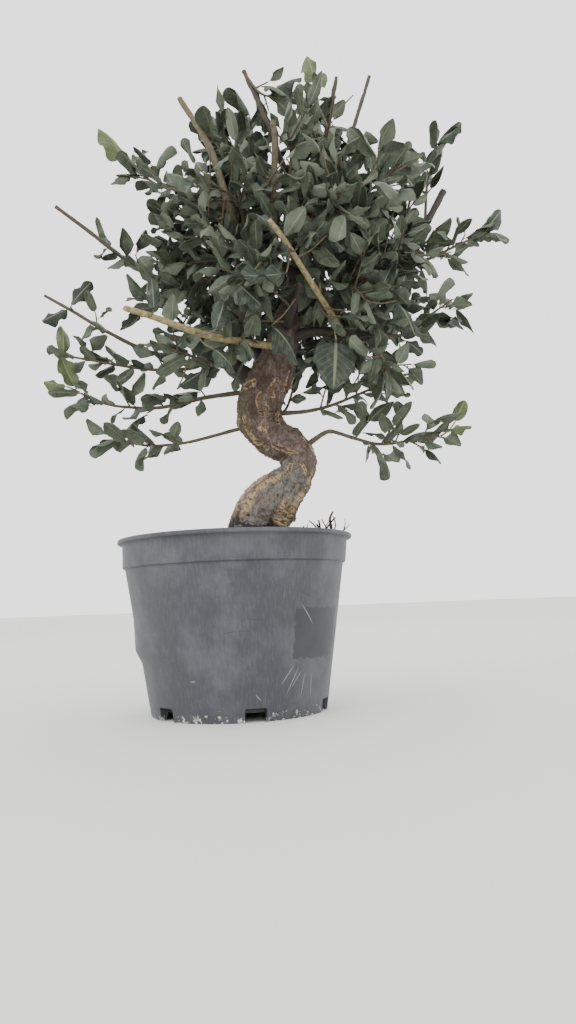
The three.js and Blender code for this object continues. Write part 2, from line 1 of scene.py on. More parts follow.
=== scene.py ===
"""The looks of a cork oak bonsai in a round plastic nursery pot, built round its packed solids.

Sizes of the plant and the pot are in millimetres about the pot's axis, as they were measured, and
at() turns them into metres in the part's own frame. The side that it is viewed from faces -Y.
"""

import math
from collections import namedtuple
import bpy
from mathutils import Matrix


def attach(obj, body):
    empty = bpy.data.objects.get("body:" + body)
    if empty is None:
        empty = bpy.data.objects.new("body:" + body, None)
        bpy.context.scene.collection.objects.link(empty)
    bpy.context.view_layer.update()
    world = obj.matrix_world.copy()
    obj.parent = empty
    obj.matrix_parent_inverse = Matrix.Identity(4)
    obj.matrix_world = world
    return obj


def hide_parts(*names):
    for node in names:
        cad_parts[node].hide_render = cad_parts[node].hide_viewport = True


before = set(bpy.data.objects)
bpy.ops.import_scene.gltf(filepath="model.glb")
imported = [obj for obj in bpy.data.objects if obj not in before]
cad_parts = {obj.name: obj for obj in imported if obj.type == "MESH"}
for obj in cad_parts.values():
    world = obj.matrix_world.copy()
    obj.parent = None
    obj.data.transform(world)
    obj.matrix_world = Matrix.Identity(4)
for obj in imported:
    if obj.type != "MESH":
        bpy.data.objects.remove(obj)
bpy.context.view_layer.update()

from types import SimpleNamespace

import bpy
import numpy as np
from bpy.props import FloatProperty, FloatVectorProperty, IntProperty, PointerProperty
from mathutils import Matrix, Vector, noise

bl_info = {
    "name": "Cork Oak Bonsai",
    "version": (1, 0, 0),
    "blender": (4, 5, 0),
    "location": "View3D > Sidebar > Cork Oak",
    "description": "Builds a cork oak bonsai and its nursery pot piece by piece",
    "category": "Add Mesh",
}

MM = 0.001
BODY = "root"
SEED = 4711

# ---- Driving dimensions, in millimetres about the pot's axis ----

PLANT_SHIFT = (-43.5, 6.5, 0)
POT = SimpleNamespace(
    height=138, lip_radius=95, lip_height=3.5, collar_radius=91.3, collar_foot_radius=89.3,
    collar_height=19, ledge=2, foot_radius=69.6, wall=2, foot_width=4, plate_z=6, plate=2.5,
)
NOTCH = SimpleNamespace(count=6, width=16, height=10, depth=8, phase=13, corner=1.2)
# Where the thin wall is pressed out at one side: (height, how far), fading round the pot.
BULGE = SimpleNamespace(
    angle=186, spread=36, out=((-1, 0.8), (41, 1), (51, 4.6), (76, 1.9), (116, 2), (132, 0))
)
SOIL = SimpleNamespace(clear=0.8, edge_z=131, mound=19, mound_spread=27, bump=1.6, reach=84)
LEAF = SimpleNamespace(length=25, width=14, pitch=8, open=58, open_at_tip=28)
CAMERA = SimpleNamespace(place=(44, -628, 84), pitch=6.76, roll=-2.2)
FLOOR_RADIUS = 15  # metres

ROOT_APART = 7  # between the feet of two sprays
STEM_CLEAR = 5.5  # between a spray's stem and other wood
SHOOT_THICK = (1.9, 1.6)
TWIG_THICK = (1.9, 1.3)
STALK_THICK = 1.3
GOLDEN_ANGLE = 137.508  # between one leaf and the next round a stem
BROAD_LEAF = 25  # from this width on a leaf gets the broad shape
SIDE_VEINS = 8  # on each half of a leaf
SIGHT_CLEAR = 7  # kept free of leaves between the viewer and a rod
WOOD_CLEAR = 1.5  # between a leaf and thick wood

Bough = namedtuple("Bough", "path thick")
Stem = namedtuple("Stem", "path thick bare twigs twig leafy_to leaves")
Leaf = namedtuple("Leaf", "base heading normal length width placed", defaults=(False,))
Limb = namedtuple("Limb", "line thick leaves")


def bough(thick, *path):
    """Bare wood: how thick it is at its foot and tip, and the points that it passes."""
    return Bough(path, thick)


def stem(thick, bare, twigs, twig, *path, leafy_to=1, leaves=()):
    """Leafy wood, bare up to a share of its length, with so many side twigs of a length.

    Leaves that are placed by themselves are (share of the stem, foot, tip, width).
    """
    return Stem(path, thick, bare, twigs, twig, leafy_to, leaves)


def shoot(*path, leaves):
    """The tip of a stem that bears only young leaves, each placed by itself."""
    return stem(SHOOT_THICK, 0, 0, 0, *path, leaves=leaves)


# The trunk's path and its diameters, from the roots in the soil to the crown.
TRUNK = Bough(
    (
        (19, 0, 104), (19, 0, 134), (22, 0, 153), (32, -3, 168), (44, -5, 179), (52, -5, 190),
        (55, -3, 201), (49, 1, 212), (38, 5, 220), (28, 7, 230), (23, 7, 241), (24, 5, 252),
        (29, 2, 266), (38, 0, 283), (46, -2, 306), (54, 0, 333),
    ),
    (30, 50, 47, 44, 34, 28, 28, 29, 32, 35, 37, 37, 36, 32, 26, 19),
)

BOUGHS = {
    "leader": bough((20, 3.6), (46, -2, 306), (54, 0, 333), (61, 4, 362), (68, 8, 393),
        (79, 8, 434), (89, 4, 483), (95, -12, 510), (100, -18, 531)),
    "left": bough((24, 6), (30, 2, 262), (7, 10, 282), (-16, 20, 304), (-39, 30, 317),
        (-60, 34, 326)),
    "left_back": bough((15, 5), (34, 0, 276), (11, 50, 329), (-6, 80, 384)),
    "right": bough((13, 5), (44, -2, 302), (70, -10, 308), (96, -22, 300), (118, -28, 298)),
    "right_rising": bough((13, 7), (52, 0, 327), (87, 8, 342), (119, 18, 360), (148, 22, 381),
        (177, 26, 417), (196, 28, 449)),
    "back": bough((13, 5), (52, 0, 326), (63, 50, 362), (73, 92, 408)),
    "back_right": bough((10, 4.5), (58, 3, 349), (96, 50, 378), (131, 84, 410)),
    "back_top": bough((9, 4), (61, 5, 365), (56, 60, 439), (54, 85, 509)),
    "front": bough((11, 4.5), (48, -2, 313), (53, -40, 314), (60, -75, 321)),
    "left_stick": bough((11, 5.2), (61, 4, 362), (35, -16, 373), (13, -40, 378), (7, -60, 393),
        (-7, -62, 443), (-30, -58, 488)),
    "middle_stick": bough((8, 5.4), (65, 7, 377), (49, -42, 381), (42, -68, 389), (45, -80, 433),
        (44, -82, 450)),
    "top_left_stick": bough((7, 4), (74, 8, 414), (53, -12, 451), (39, -30, 483), (21, -34, 528)),
    "top_right_stick": bough((8, 3.6), (69, 8, 395), (92, 20, 436), (113, 24, 499), (134, 24, 561)),
}

STEMS = {
    "low_left": stem((5, 2), 0.5, 3, 14, (27, 4, 233), (4, 2, 230), (-36, -6, 219), (-70, -14, 216),
        (-99, -20, 224)),
    "left": stem((5.4, 2), 0.22, 5, 20, (22, 6, 264), (-22, 4, 259), (-58, 0, 251), (-85, -4, 251),
        (-105, -8, 254), (-124, -10, 263)),
    "left_fork": stem((5, 2.2), 0.3, 4, 18, (-16, 20, 304), (-31, 14, 289), (-69, 6, 286),
        (-113, -4, 292), (-134, -10, 295)),
    "left_inner": stem((4, 2), 0.2, 4, 30, (-28, 26, 311), (-38, -8, 320), (-50, -26, 326),
        (-64, -36, 331)),
    "left_front": stem((4, 2), 0.2, 4, 28, (7, 10, 282), (-10, -28, 277), (-30, -50, 279),
        (-50, -58, 286)),
    "left_rod": stem((4.6, 3), 0.55, 2, 12, (-38, 30, 316), (-62, 12, 301), (-100, -6, 315),
        (-128, -12, 332), (-152, -16, 346), leafy_to=0.66,
        leaves=((0.8, (-131, -16, 335), (-114, -14, 359), 12),
                (0.8, (-131, -16, 334), (-153, -20, 323), 11))),
    "upper_left_rod": stem((6, 3.6), 0.3, 4, 20, (-16, 20, 304), (-32, 16, 352), (-73, 4, 372),
        (-115, -10, 403), (-142, -18, 423), leafy_to=0.74),
    "front_left_rod": stem((7, 4.4), 0.3, 4, 14, (45, -6, 297), (-6, -70, 285), (-45, -125, 282),
        (-58, -145, 280), leafy_to=0.42),
    "front_rod": stem((6, 4.6), 0.25, 3, 14, (96, -22, 300), (67, -75, 325), (49, -108, 341),
        (39, -125, 347), leafy_to=0.5, leaves=((0.2, (86, -60, 284), (82, -71, 242), 32),)),
    "low_right": stem((6, 2), 0.4, 6, 24, (52, -2, 206), (76, -6, 222), (89, -8, 221),
        (120, -12, 210), (155, -14, 213), (170, -14, 214)),
    "right": stem((5.4, 2), 0.35, 6, 30, (29, 4, 243), (60, 6, 244), (87, 8, 250), (121, 12, 264),
        (140, 12, 270)),
    "beside_trunk": stem((4, 2), 0.4, 2, 18, (30, 8, 240), (46, 24, 252), (56, 30, 284)),
    "far_right": stem((4.4, 2), 0.2, 5, 22, (148, 22, 381), (173, 14, 378), (199, 8, 387),
        (224, 0, 394), leaves=((0.98, (223, 0, 395), (240, -2, 417), 12),)),
    "upper_right": stem((3.6, 1.8), 0.25, 3, 18, (177, 26, 417), (180, 20, 452), (186, 18, 472),
        (190, 16, 488), leaves=((0.97, (190, 16, 487), (211, 12, 502), 12),)),
    "inner_right": stem((4, 1.8), 0.15, 5, 24, (119, 18, 360), (150, 6, 400), (161, 4, 430),
        (163, 4, 446)),
    "upper_left": stem((4, 1.8), 0.15, 5, 24, (7, -60, 393), (-20, -52, 410), (-48, -42, 423),
        (-70, -34, 442)),
    "right_mid": stem((4.4, 2), 0.1, 5, 28, (118, -28, 298), (141, -24, 297), (163, -20, 312),
        (187, -16, 329)),
    "right_under": stem((4, 2), 0.25, 4, 26, (100, -23, 300), (120, -38, 280), (128, -44, 258)),
    "top_left": stem((3, 1.8), 0.4, 2, 16, (21, -34, 527), (33, -36, 507), (44, -36, 502),
        leaves=((0.9, (41, -36, 503), (67, -36, 526), 14),)),
    "top": stem((3.2, 1.8), 0.1, 4, 20, (89, 4, 483), (83, 10, 511), (81, 10, 532)),
}

SHOOTS = {
    "left": shoot((-124.6, -10, 263.5), (-129, -11, 266), (-134, -12, 268),
        leaves=((0.4, (-127, -11, 266), (-140, -14, 292), 15), (0.95, (-134, -12, 268), (-154, -12, 274), 9))),
    "left_fork": shoot((-134.7, -10, 295.2), (-137, -10, 296), (-141, -11, 297),
        leaves=((0.5, (-138, -10, 296.5), (-138, -12, 323), 11),)),
    "low_right": shoot((170.7, -14, 214.3), (177, -14, 218), (183, -14, 225),
        leaves=((0.95, (183, -14, 225), (192, -16, 243), 11), (0.45, (177, -14, 218), (195, -18, 224), 10))),
    "upper_left": shoot((-70.5, -34, 442.6), (-76, -34, 446), (-82, -34, 452),
        leaves=((0.9, (-81, -34, 451), (-94, -40, 484), 17), (0.5, (-76, -33, 446), (-62, -30, 464), 9))),
    "upper_right": shoot((163, 4, 446.7), (163, 4, 450), (162, 4, 454),
        leaves=((0.7, (162, 4, 452), (150, 2, 471), 11), (0.95, (162, 4, 454), (170, 6, 474), 9))),
    "top": shoot((81, 10, 532.7), (82, 9, 538), (83, 8, 543),
        leaves=((0.95, (83, 8, 543), (78, 7, 576), 13), (0.5, (82, 9, 538), (94, 12, 558), 10))),
}

CROWN = SimpleNamespace(
    centre=(66, 0, 388), reach=(116, 112, 120), sprays=28, lowest=-0.85, flat_side=(0.76, 0, 0.65),
    flattened=0.24, spray=((3.8, 1.8), 0.3, 7, 42),
)
# More sprays that fill the crown between those that the solids share.
INNER_CROWN = SimpleNamespace(**{
    **vars(CROWN), "centre": (48, -8, 362), "reach": (98, 94, 90), "lowest": -1,
    "spray": ((2.6, 1.4), 0.2, 7, 34),
})
INNER_PARTS = 4

# Leaves that show at the front of the crown: foot, tip, width, and whether the upper face shows.
FRONT_LEAVES = (
    ((50, -112, 314), (11, -112, 311), 15, 1), ((14, -95, 315), (31, -97, 298), 19, 1),
    ((-3, -100, 279), (5, -100, 304), 13, 1), ((37, -72, 293), (60, -70, 266), 19, 1),
    ((-40, -40, 255), (-12, -40, 273), 17, 1), ((-41, -132, 282), (-42, -130, 305), 9, -1),
    ((41, -125, 346), (30, -120, 353), 9, -1), ((57, -108, 334), (78, -104, 350), 8, -1),
    ((79, -100, 348), (93, -96, 339), 8, -1), ((54, -110, 331), (36, -108, 329), 9, 1),
    ((-19, -70, 387), (-40, -70, 385), 9, 1), ((-16, -70, 392), (-36, -66, 407), 13, 1),
    ((122, -60, 321), (135, -60, 347), 12, 1), ((133, -60, 313), (151, -58, 288), 15, 1),
    ((163, -20, 312), (195, -20, 305), 14, 1), ((143, -30, 291), (158, -30, 280), 13, 1),
    ((-50, -130, 282), (-61, -128, 268), 9, -1), ((-6, -96, 268), (12, -92, 254), 15, 1),
)
# Bare rods and sticks that show in front of the crown, from this share of their length on.
RODS_IN_VIEW = dict(
    front_rod=0.1, front_left_rod=0.3, left_stick=0.55, middle_stick=0.6, top_left_stick=0.4,
    top_right_stick=0.75, leader=0.78, right_rising=0.9,
)
# How olive the bark is, from 0, brown, to 1: at a bough's end, and on a stem. This is partly painted light:
# the pale olive goes to rods at the front, where light falls on them, and the dark brown stands partly for the
# shade inside the crown.
OLIVE_AND_PAINTED_LIGHT_BOUGHS = dict(
    left_stick=0.3, middle_stick=0.22, top_left_stick=0.08, top_right_stick=0.1, leader=0.08
)
OLIVE_AND_PAINTED_LIGHT_STEMS = dict(front_rod=1, front_left_rod=1, upper_left_rod=0.12, left_rod=0.15)


# ---- How the plant grows: the same rule as in the part's source ----


class Draws:
    """The seeded numbers that the plant's growth is drawn from, in the same order as in the part."""

    def __init__(self, seed):
        self.state = seed

    def __call__(self):
        self.state = self.state * 48271 % 2147483647
        return self.state / 2147483647


def vec(values):
    return np.array(values, dtype=float)


def unit(vector):
    return vector / math.sqrt(vector @ vector)


def mix(start, end, share):
    return start + (end - start) * share


def polar(radius, angle):
    return radius * math.cos(angle), radius * math.sin(angle)


def on_curve(path, t):
    """The point on a smooth curve through a path, t from 0 to 1."""
    last = len(path) - 1
    i = min(math.floor(t * last), last - 1)
    u = t * last - i
    here, ahead = vec(path[i]), vec(path[i + 1])
    before = vec(path[i - 1]) if i > 0 else here + (here - ahead)
    after = vec(path[i + 2]) if i + 2 <= last else ahead + (ahead - here)
    return 0.5 * (
        2 * here
        + (ahead - before) * u
        + (2 * before - 5 * here + 4 * ahead - after) * u * u
        + (3 * here - before - 3 * ahead + after) * u * u * u
    )


def stations(path, count):
    return np.array([on_curve(path, i / count) for i in range(count + 1)])


def step_lengths(line):
    steps = np.diff(line, axis=0)
    return np.sqrt((steps * steps).sum(axis=1))


def line_length(line):
    return step_lengths(line).sum()


def along(line, share):
    """The point and the direction at a share of a polyline's length."""
    lengths = step_lengths(line)
    left = share * sum(lengths)
    i = 0
    while i < len(lengths) - 1 and left > lengths[i]:
        left -= lengths[i]
        i += 1
    direction = unit(line[i + 1] - line[i])
    return line[i] + direction * left, direction


def around(direction, angle):
    """A direction square to a stem, turned round it by an angle in degrees."""
    reference = vec((1, 0, 0)) if abs(direction[2]) > 0.9 else vec((0, 0, 1))
    side = unit(np.cross(direction, reference))
    up = np.cross(side, direction)
    return side * math.cos(math.radians(angle)) + up * math.sin(math.radians(angle))


def square_to(heading, vector):
    """The part of a vector that is square to a heading, one long."""
    return unit(vector - heading * (vector @ heading))


def leaves_along(line, start, size, draw, leafy_to=1):
    """Leaves stand spirally along a stem, their faces turned up and away from the crown's middle."""
    count = max(1, math.floor(line_length(line) * (1 - start) / LEAF.pitch + 0.5))
    turn = 360 * draw()
    leaves = []
    for i in range(count + 1):
        share = mix(start, 1, (i + 0.4) / (count + 0.4))
        swing, growth, lift, roll = draw(), draw(), draw(), draw()
        point, direction = along(line, min(share, 0.995))
        outward = around(direction, turn + GOLDEN_ANGLE * i + 30 * (swing - 0.5))
        spread = math.radians(mix(LEAF.open, LEAF.open_at_tip, i / count) + 16 * (lift - 0.5))
        heading = unit(direction * math.cos(spread) + outward * math.sin(spread))
        away = unit(point - vec(CROWN.centre))
        aside = 0.9 * vec((roll - 0.5, swing - 0.5, 0))
        light = away * (0.35, 0.45, 0.2) + aside + (0, 0, 0.75)
        scale = size * mix(0.72, 1.18, growth)
        width = LEAF.width * scale * mix(0.85, 1.1, roll)
        if share <= leafy_to:
            normal = square_to(heading, light)
            leaves.append(Leaf(point, heading, normal, LEAF.length * scale, width))
    return leaves


def single_leaf(line, share, foot, tip, width):
    """A leaf that is placed by itself, with the stalk that joins it to the stem."""
    foot, tip = vec(foot), vec(tip)
    heading = unit(tip - foot)
    normal = square_to(heading, vec((0.15, -0.75, 0.45)))
    leaf = Leaf(foot, heading, normal, math.dist(foot, tip), width, True)
    stalk = np.array([along(line, share)[0], foot + heading])
    return Limb(stalk, (STALK_THICK, STALK_THICK), [leaf])


def grow(stem, draw):
    """A stem with its side twigs. Each twig leaves at an angle, rises to the light and bears leaves."""
    line = stations(stem.path, 2 * (len(stem.path) - 1))
    own = leaves_along(line, max(stem.bare, 0.3), 1, draw, stem.leafy_to)
    limbs = [Limb(line, stem.thick, own)]
    for i in range(stem.twigs):
        share = mix(stem.bare, 0.93, (i + 0.5) / stem.twigs)
        swing, reach, lift = draw(), draw(), draw()
        point, direction = along(line, share)
        outward = around(direction, GOLDEN_ANGLE * i + 72 * swing + 40)
        heading = unit(direction * 0.6 + outward * 0.8 + vec((0, 0, 0.3 + 0.2 * lift)))
        size = stem.twig * mix(1, 0.62, share) * mix(0.8, 1.2, reach)
        twig = np.array([point, point + heading * size])
        leaves = leaves_along(twig, 0.28, 0.95, draw)
        if share <= stem.leafy_to:
            limbs.append(Limb(twig, TWIG_THICK, leaves))
    return limbs + [single_leaf(line, *leaf) for leaf in stem.leaves]


def grow_shoot(tip):
    line = vec(tip.path)
    return [Limb(line, tip.thick, []), *(single_leaf(line, *leaf) for leaf in tip.leaves)]


def bough_points(wood):
    """Points close together on a bough, with the wood's radius there."""
    count = 6 * (len(wood.path) - 1)
    return stations(wood.path, count), mix(*wood.thick, np.arange(count + 1) / count) / 2


def distances(points, others):
    return np.sqrt(((points[:, None, :] - others[None, :, :]) ** 2).sum(axis=2))


def crown_sprays(draw, crown, name):
    """Sprays that reach out evenly from the boughs to a ball. Each starts in the nearest free wood."""
    wood = [bough_points(limb) for limb in BOUGHS.values()]
    roots = [(point, n) for n, (points, _) in enumerate(wood) for point in points[3:]]
    taken = [stations(other.path, 24) for other in STEMS.values()]
    used = [vec(other.path[0]) for other in STEMS.values()]
    centre, reach = vec(crown.centre), vec(crown.reach)
    sprays = {}
    for i in range(crown.sprays):
        height = 1 - 2 * (i + 0.5) / crown.sprays
        flat = polar(math.sqrt(1 - height * height), math.radians(GOLDEN_ANGLE * i + 20))
        heading = vec((*flat, height))
        furthest = mix(0.9, 1.06, draw())
        if height < crown.lowest:
            continue
        size = 1 - crown.flattened * max(0, heading @ vec(crown.flat_side)) ** 2
        inner, bend, tip = (centre + reach * heading * size * k for k in (0.45, 0.7, furthest))
        for root, number in sorted(roots, key=lambda item: math.dist(item[0], inner)):
            if min(math.dist(other, root) for other in used) < ROOT_APART:
                continue
            line = stations((root, bend, tip), 24)
            points, radii = zip(*(limb for n, limb in enumerate(wood) if n != number))
            to_wood = distances(line[4:], np.vstack(points)) - np.concatenate(radii)
            to_stems = distances(line[4:], np.vstack(taken))
            if min(to_wood.min(), to_stems.min()) >= STEM_CLEAR:
                used.append(root)
                taken.append(line)
                sprays[f"{name}_{i + 1:02d}"] = stem(*crown.spray, root, bend, tip)
                break
    return sprays


# ---- Handling meshes ----


def at(points):
    """Millimetres about the pot's axis as metres in the part's frame."""
    return (np.asarray(points, dtype=float) + vec(PLANT_SHIFT)) * MM


def start(name, add, **settings):
    """Adds a primitive by its operator and names it."""
    bpy.ops.object.select_all(action="DESELECT")
    add(**settings)
    piece = bpy.context.object
    piece.name = piece.data.name = name
    return piece


def select_only(*pieces):
    bpy.ops.object.select_all(action="DESELECT")
    for piece in pieces:
        piece.select_set(True)
    bpy.context.view_layer.objects.active = pieces[0]


def read(items, name, wide=1, kind=float):
    """An array of one property of all vertices, corners or the like."""
    flat = np.empty(wide * len(items), dtype=kind)
    items.foreach_get(name, flat)
    return flat.reshape(-1, wide) if wide > 1 else flat


def points_of(piece):
    return read(piece.data.vertices, "co", 3)


def move_points(piece, points):
    piece.data.vertices.foreach_set("co", np.asarray(points, dtype=float).ravel())
    piece.data.update()


def in_edit_mode(piece, *steps):
    """Runs edit mode operators, each given as (operator, settings), on all of a piece."""
    select_only(piece)
    bpy.ops.object.mode_set(mode="EDIT")
    bpy.ops.mesh.select_mode(type="VERT")
    bpy.ops.mesh.select_all(action="SELECT")
    for step, settings in steps:
        step(**settings)
    bpy.ops.object.mode_set(mode="OBJECT")


def close_up(piece):
    """Joins the seam of a rolled grid, fills the open ends and turns all faces out."""
    in_edit_mode(
        piece,
        (bpy.ops.mesh.remove_doubles, dict(threshold=0.001 * MM)),
        (bpy.ops.mesh.select_all, dict(action="DESELECT")),
        (bpy.ops.mesh.select_non_manifold, {}),
        (bpy.ops.mesh.fill_holes, dict(sides=0)),
        (bpy.ops.mesh.select_all, dict(action="SELECT")),
        (bpy.ops.mesh.normals_make_consistent, dict(inside=False)),
    )


def modify(piece, kind, **settings):
    """Adds a modifier and applies it."""
    select_only(piece)
    modifier = piece.modifiers.new(kind.title(), kind)
    for key, value in settings.items():
        setattr(modifier, key, value)
    bpy.ops.object.modifier_apply(modifier=modifier.name)


def join(pieces):
    """Joins pieces into the first of them."""
    select_only(*pieces)
    bpy.ops.object.join()
    return bpy.context.object


def smooth(piece, degrees):
    select_only(piece)
    bpy.ops.object.shade_smooth_by_angle(angle=math.radians(degrees))


def mark(piece, name, values):
    """Keeps a number for each vertex, which the piece's material reads."""
    layer = piece.data.attributes.new(name, "FLOAT", "POINT")
    layer.data.foreach_set("value", np.broadcast_to(values, len(piece.data.vertices)).astype(float))


def dress(piece, *materials):
    piece.data.materials.clear()
    for material in materials:
        piece.data.materials.append(material)


def hand_over(piece, node):
    """Sets a finished piece in the place of its solid in the frame."""
    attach(piece, BODY)
    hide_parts(node)


def flat_grid(name, columns, rows):
    """A grid with a UV map, and its vertices' places from 0 to 1 along both sides."""
    piece = start(
        name, bpy.ops.mesh.primitive_grid_add, x_subdivisions=columns, y_subdivisions=rows,
        size=1, calc_uvs=True,
    )
    return piece, *(points_of(piece)[:, :2] + 0.5).T


def rolled_grid(name, around_count, along_count, place):
    """A grid rolled into a tube. place(turn, along), both from 0 to 1, gives each vertex its place."""
    piece, turn, share = flat_grid(name, around_count, along_count)
    move_points(piece, place(turn, share))
    return piece


def meshed(name, points, faces):
    """A piece from arrays of points and lists of faces."""
    mesh = bpy.data.meshes.new(name)
    mesh.from_pydata(np.vstack(points).tolist(), [], faces)
    piece = bpy.data.objects.new(name, mesh)
    bpy.context.collection.objects.link(piece)
    return piece


def round_wood(name, limbs, roundness):
    """Round limbs with closed ends. Each is (points, radii), in metres."""
    curve = start(name, bpy.ops.object.add, type="CURVE").data
    curve.dimensions = "3D"
    curve.bevel_depth = 1
    curve.bevel_resolution = roundness
    curve.use_fill_caps = True
    for points, radii in limbs:
        spline = curve.splines.new("POLY")
        spline.points.add(len(points) - 1)
        spline.points.foreach_set("co", np.column_stack([points, np.ones(len(points))]).ravel())
        spline.points.foreach_set("radius", radii)
    bpy.ops.object.convert(target="MESH")
    wood = bpy.context.object
    for face in wood.data.polygons:
        face.material_index = int(len(face.vertices) > 4)  # the cut ends
    return wood


# ---- Materials ----


def linear(hex_colour):
    """An sRGB colour such as "#5b5f66" as linear red, green, blue and alpha."""
    parts = [int(hex_colour[i : i + 2], 16) / 255 for i in (1, 3, 5)]
    return (*(c / 12.92 if c <= 0.04045 else ((c + 0.055) / 1.055) ** 2.4 for c in parts), 1.0)


class Look:
    """A material in the making, with short ways to add the nodes that are used most."""

    def __init__(self, name, **settings):
        self.material = bpy.data.materials.new(name)
        self.material.use_nodes = True
        self.tree = self.material.node_tree
        self.shader = self.tree.nodes["Principled BSDF"]
        for key, value in settings.items():
            socket = key.replace("_", " ").title().replace("Ior", "IOR")
            self.shader.inputs[socket].default_value = value
        self.place = self.node("TexCoord", output=3)

    def node(self, kind, inputs=None, output=0, **settings):
        """Adds a node. An input is a number, a colour, "#" and its code, or a node's output."""
        made = self.tree.nodes.new("ShaderNode" + kind)
        for key, value in settings.items():
            setattr(made, key, value)
        for key, value in (inputs or {}).items():
            if isinstance(value, bpy.types.NodeSocket):
                self.tree.links.new(value, made.inputs[key])
            else:
                value = linear(value) if isinstance(value, str) else value
                made.inputs[key].default_value = value
        return made.outputs[output]

    def math(self, operation, *values):
        return self.node("Math", dict(enumerate(values)), operation=operation)

    def ramp(self, value, low, high, first=0, last=1, kind="LINEAR"):
        """Goes from first to last between two limits."""
        limits = {0: value, 1: low, 2: high, 3: first, 4: last}
        return self.node("MapRange", limits, interpolation_type=kind)

    def soft_ramp(self, *limits):
        return self.ramp(*limits, kind="SMOOTHSTEP")

    def noise(self, size, detail, roughness=0.5, stretch=None):
        """Cloudy noise with spots of a size in millimetres, stretched upwards by a scale below 1."""
        place = self.place
        if stretch:
            place = self.node("Mapping", {"Vector": place, "Scale": (1, 1, stretch)})
        scale = 1 / (size * MM)
        inputs = {"Vector": place, "Scale": scale, "Detail": detail, "Roughness": roughness}
        return self.node("TexNoise", inputs)

    def blend(self, share, under, over):
        """Two colours, the second by a share from 0 to 1."""
        return self.node("Mix", {0: share, 6: under, 7: over}, output=2, data_type="RGBA")

    def axes(self, vector):
        return (self.node("SeparateXYZ", {0: vector}, output=k) for k in range(3))

    def attribute(self, name):
        return self.node("Attribute", output=2, attribute_name=name)

    def link(self, socket, value):
        self.tree.links.new(value, self.shader.inputs[socket])

    def finish(self, colour, relief=None, strength=1, high=0):
        """Links the colour and a relief of a height in millimetres, and gives the material."""
        self.link("Base Color", colour)
        if relief is not None:
            inputs = {"Height": relief, "Strength": strength, "Distance": high * MM}
            self.link("Normal", self.node("Bump", inputs))
        return self.material


# Marks of wear on the pot's wall: azimuths in degrees from +X, heights in millimetres.
LABEL_PATCH = SimpleNamespace(azimuth=(-55, -17), height=(43, 80), ragged=1.6, edge=0.6)
WALL_RADIUS = 80
# Each scratch is (azimuth, height) of its start, the same of its end, and half its width.
SCRATCHES = (
    (-53, 41, -63.5, 23.4, 0.5), (-50.1, 39.3, -59.4, 15.8, 0.5), (-47.7, 36.1, -56.2, 21.2, 0.4),
    (-45.3, 35.8, -48.4, 12.9, 0.4), (-40.1, 35.2, -39.6, 11.7, 0.4), (-52.5, 85, -41.1, 66.2, 0.5),
    (-114.7, 30.3, -110.9, 30.3, 0.6), (-77.7, 20.5, -73.6, 14.5, 0.5),
)
SCORES = (
    (-55.4, 93, -40.4, 86.4, 0.5), (-82.4, 73.5, -69.6, 72.3, 0.9), (-87.7, 65.7, -79, 65.2, 0.6),
    (-95.4, 63.9, -85.1, 65.5, 0.5),
)


def label_patch(look, turn, z):
    """1 on the clean patch that a label left, its edges ragged by a millimetre or two, else 0."""
    shake = look.math("SUBTRACT", look.noise(5, 3), 0.5)
    sides = []
    for value, limits, millimetre in (
        (turn, np.radians(LABEL_PATCH.azimuth), 1 / WALL_RADIUS),
        (z, np.multiply(LABEL_PATCH.height, MM), MM),
    ):
        low, high = map(float, limits)
        wobble = look.math("MULTIPLY_ADD", shake, 4 * LABEL_PATCH.ragged * millimetre, value)
        far = look.math("ABSOLUTE", look.math("SUBTRACT", wobble, (low + high) / 2))
        half, edge = (high - low) / 2, LABEL_PATCH.edge * millimetre
        sides.append(look.ramp(far, half - edge, half + edge, 1, 0))
    return look.math("MULTIPLY", *sides)


def scratches(look, turn, z, marks):
    """1 on single scratches in the pot's wall, else 0."""
    wall = WALL_RADIUS * MM
    flat_wall = look.node("CombineXYZ", {0: look.math("MULTIPLY", turn, wall), 1: z})
    total = 0
    for azimuth, low, far_azimuth, high, width in marks:
        run = math.radians(far_azimuth - azimuth) * wall, (high - low) * MM
        middle = math.radians(azimuth + far_azimuth) / 2 * wall, (low + high) / 2 * MM, 0
        inputs = {
            "Vector": flat_wall, "Location": middle, "Rotation": (0, 0, math.atan2(*run[::-1])),
            "Scale": (math.hypot(*run) / 2, width * MM, 1),
        }
        spot = look.node("Mapping", inputs, vector_type="TEXTURE")
        size = look.node("VectorMath", {0: spot}, output=1, operation="LENGTH")
        total = look.math("MAXIMUM", total, look.soft_ramp(size, 0.4, 1, 1, 0))
    return total


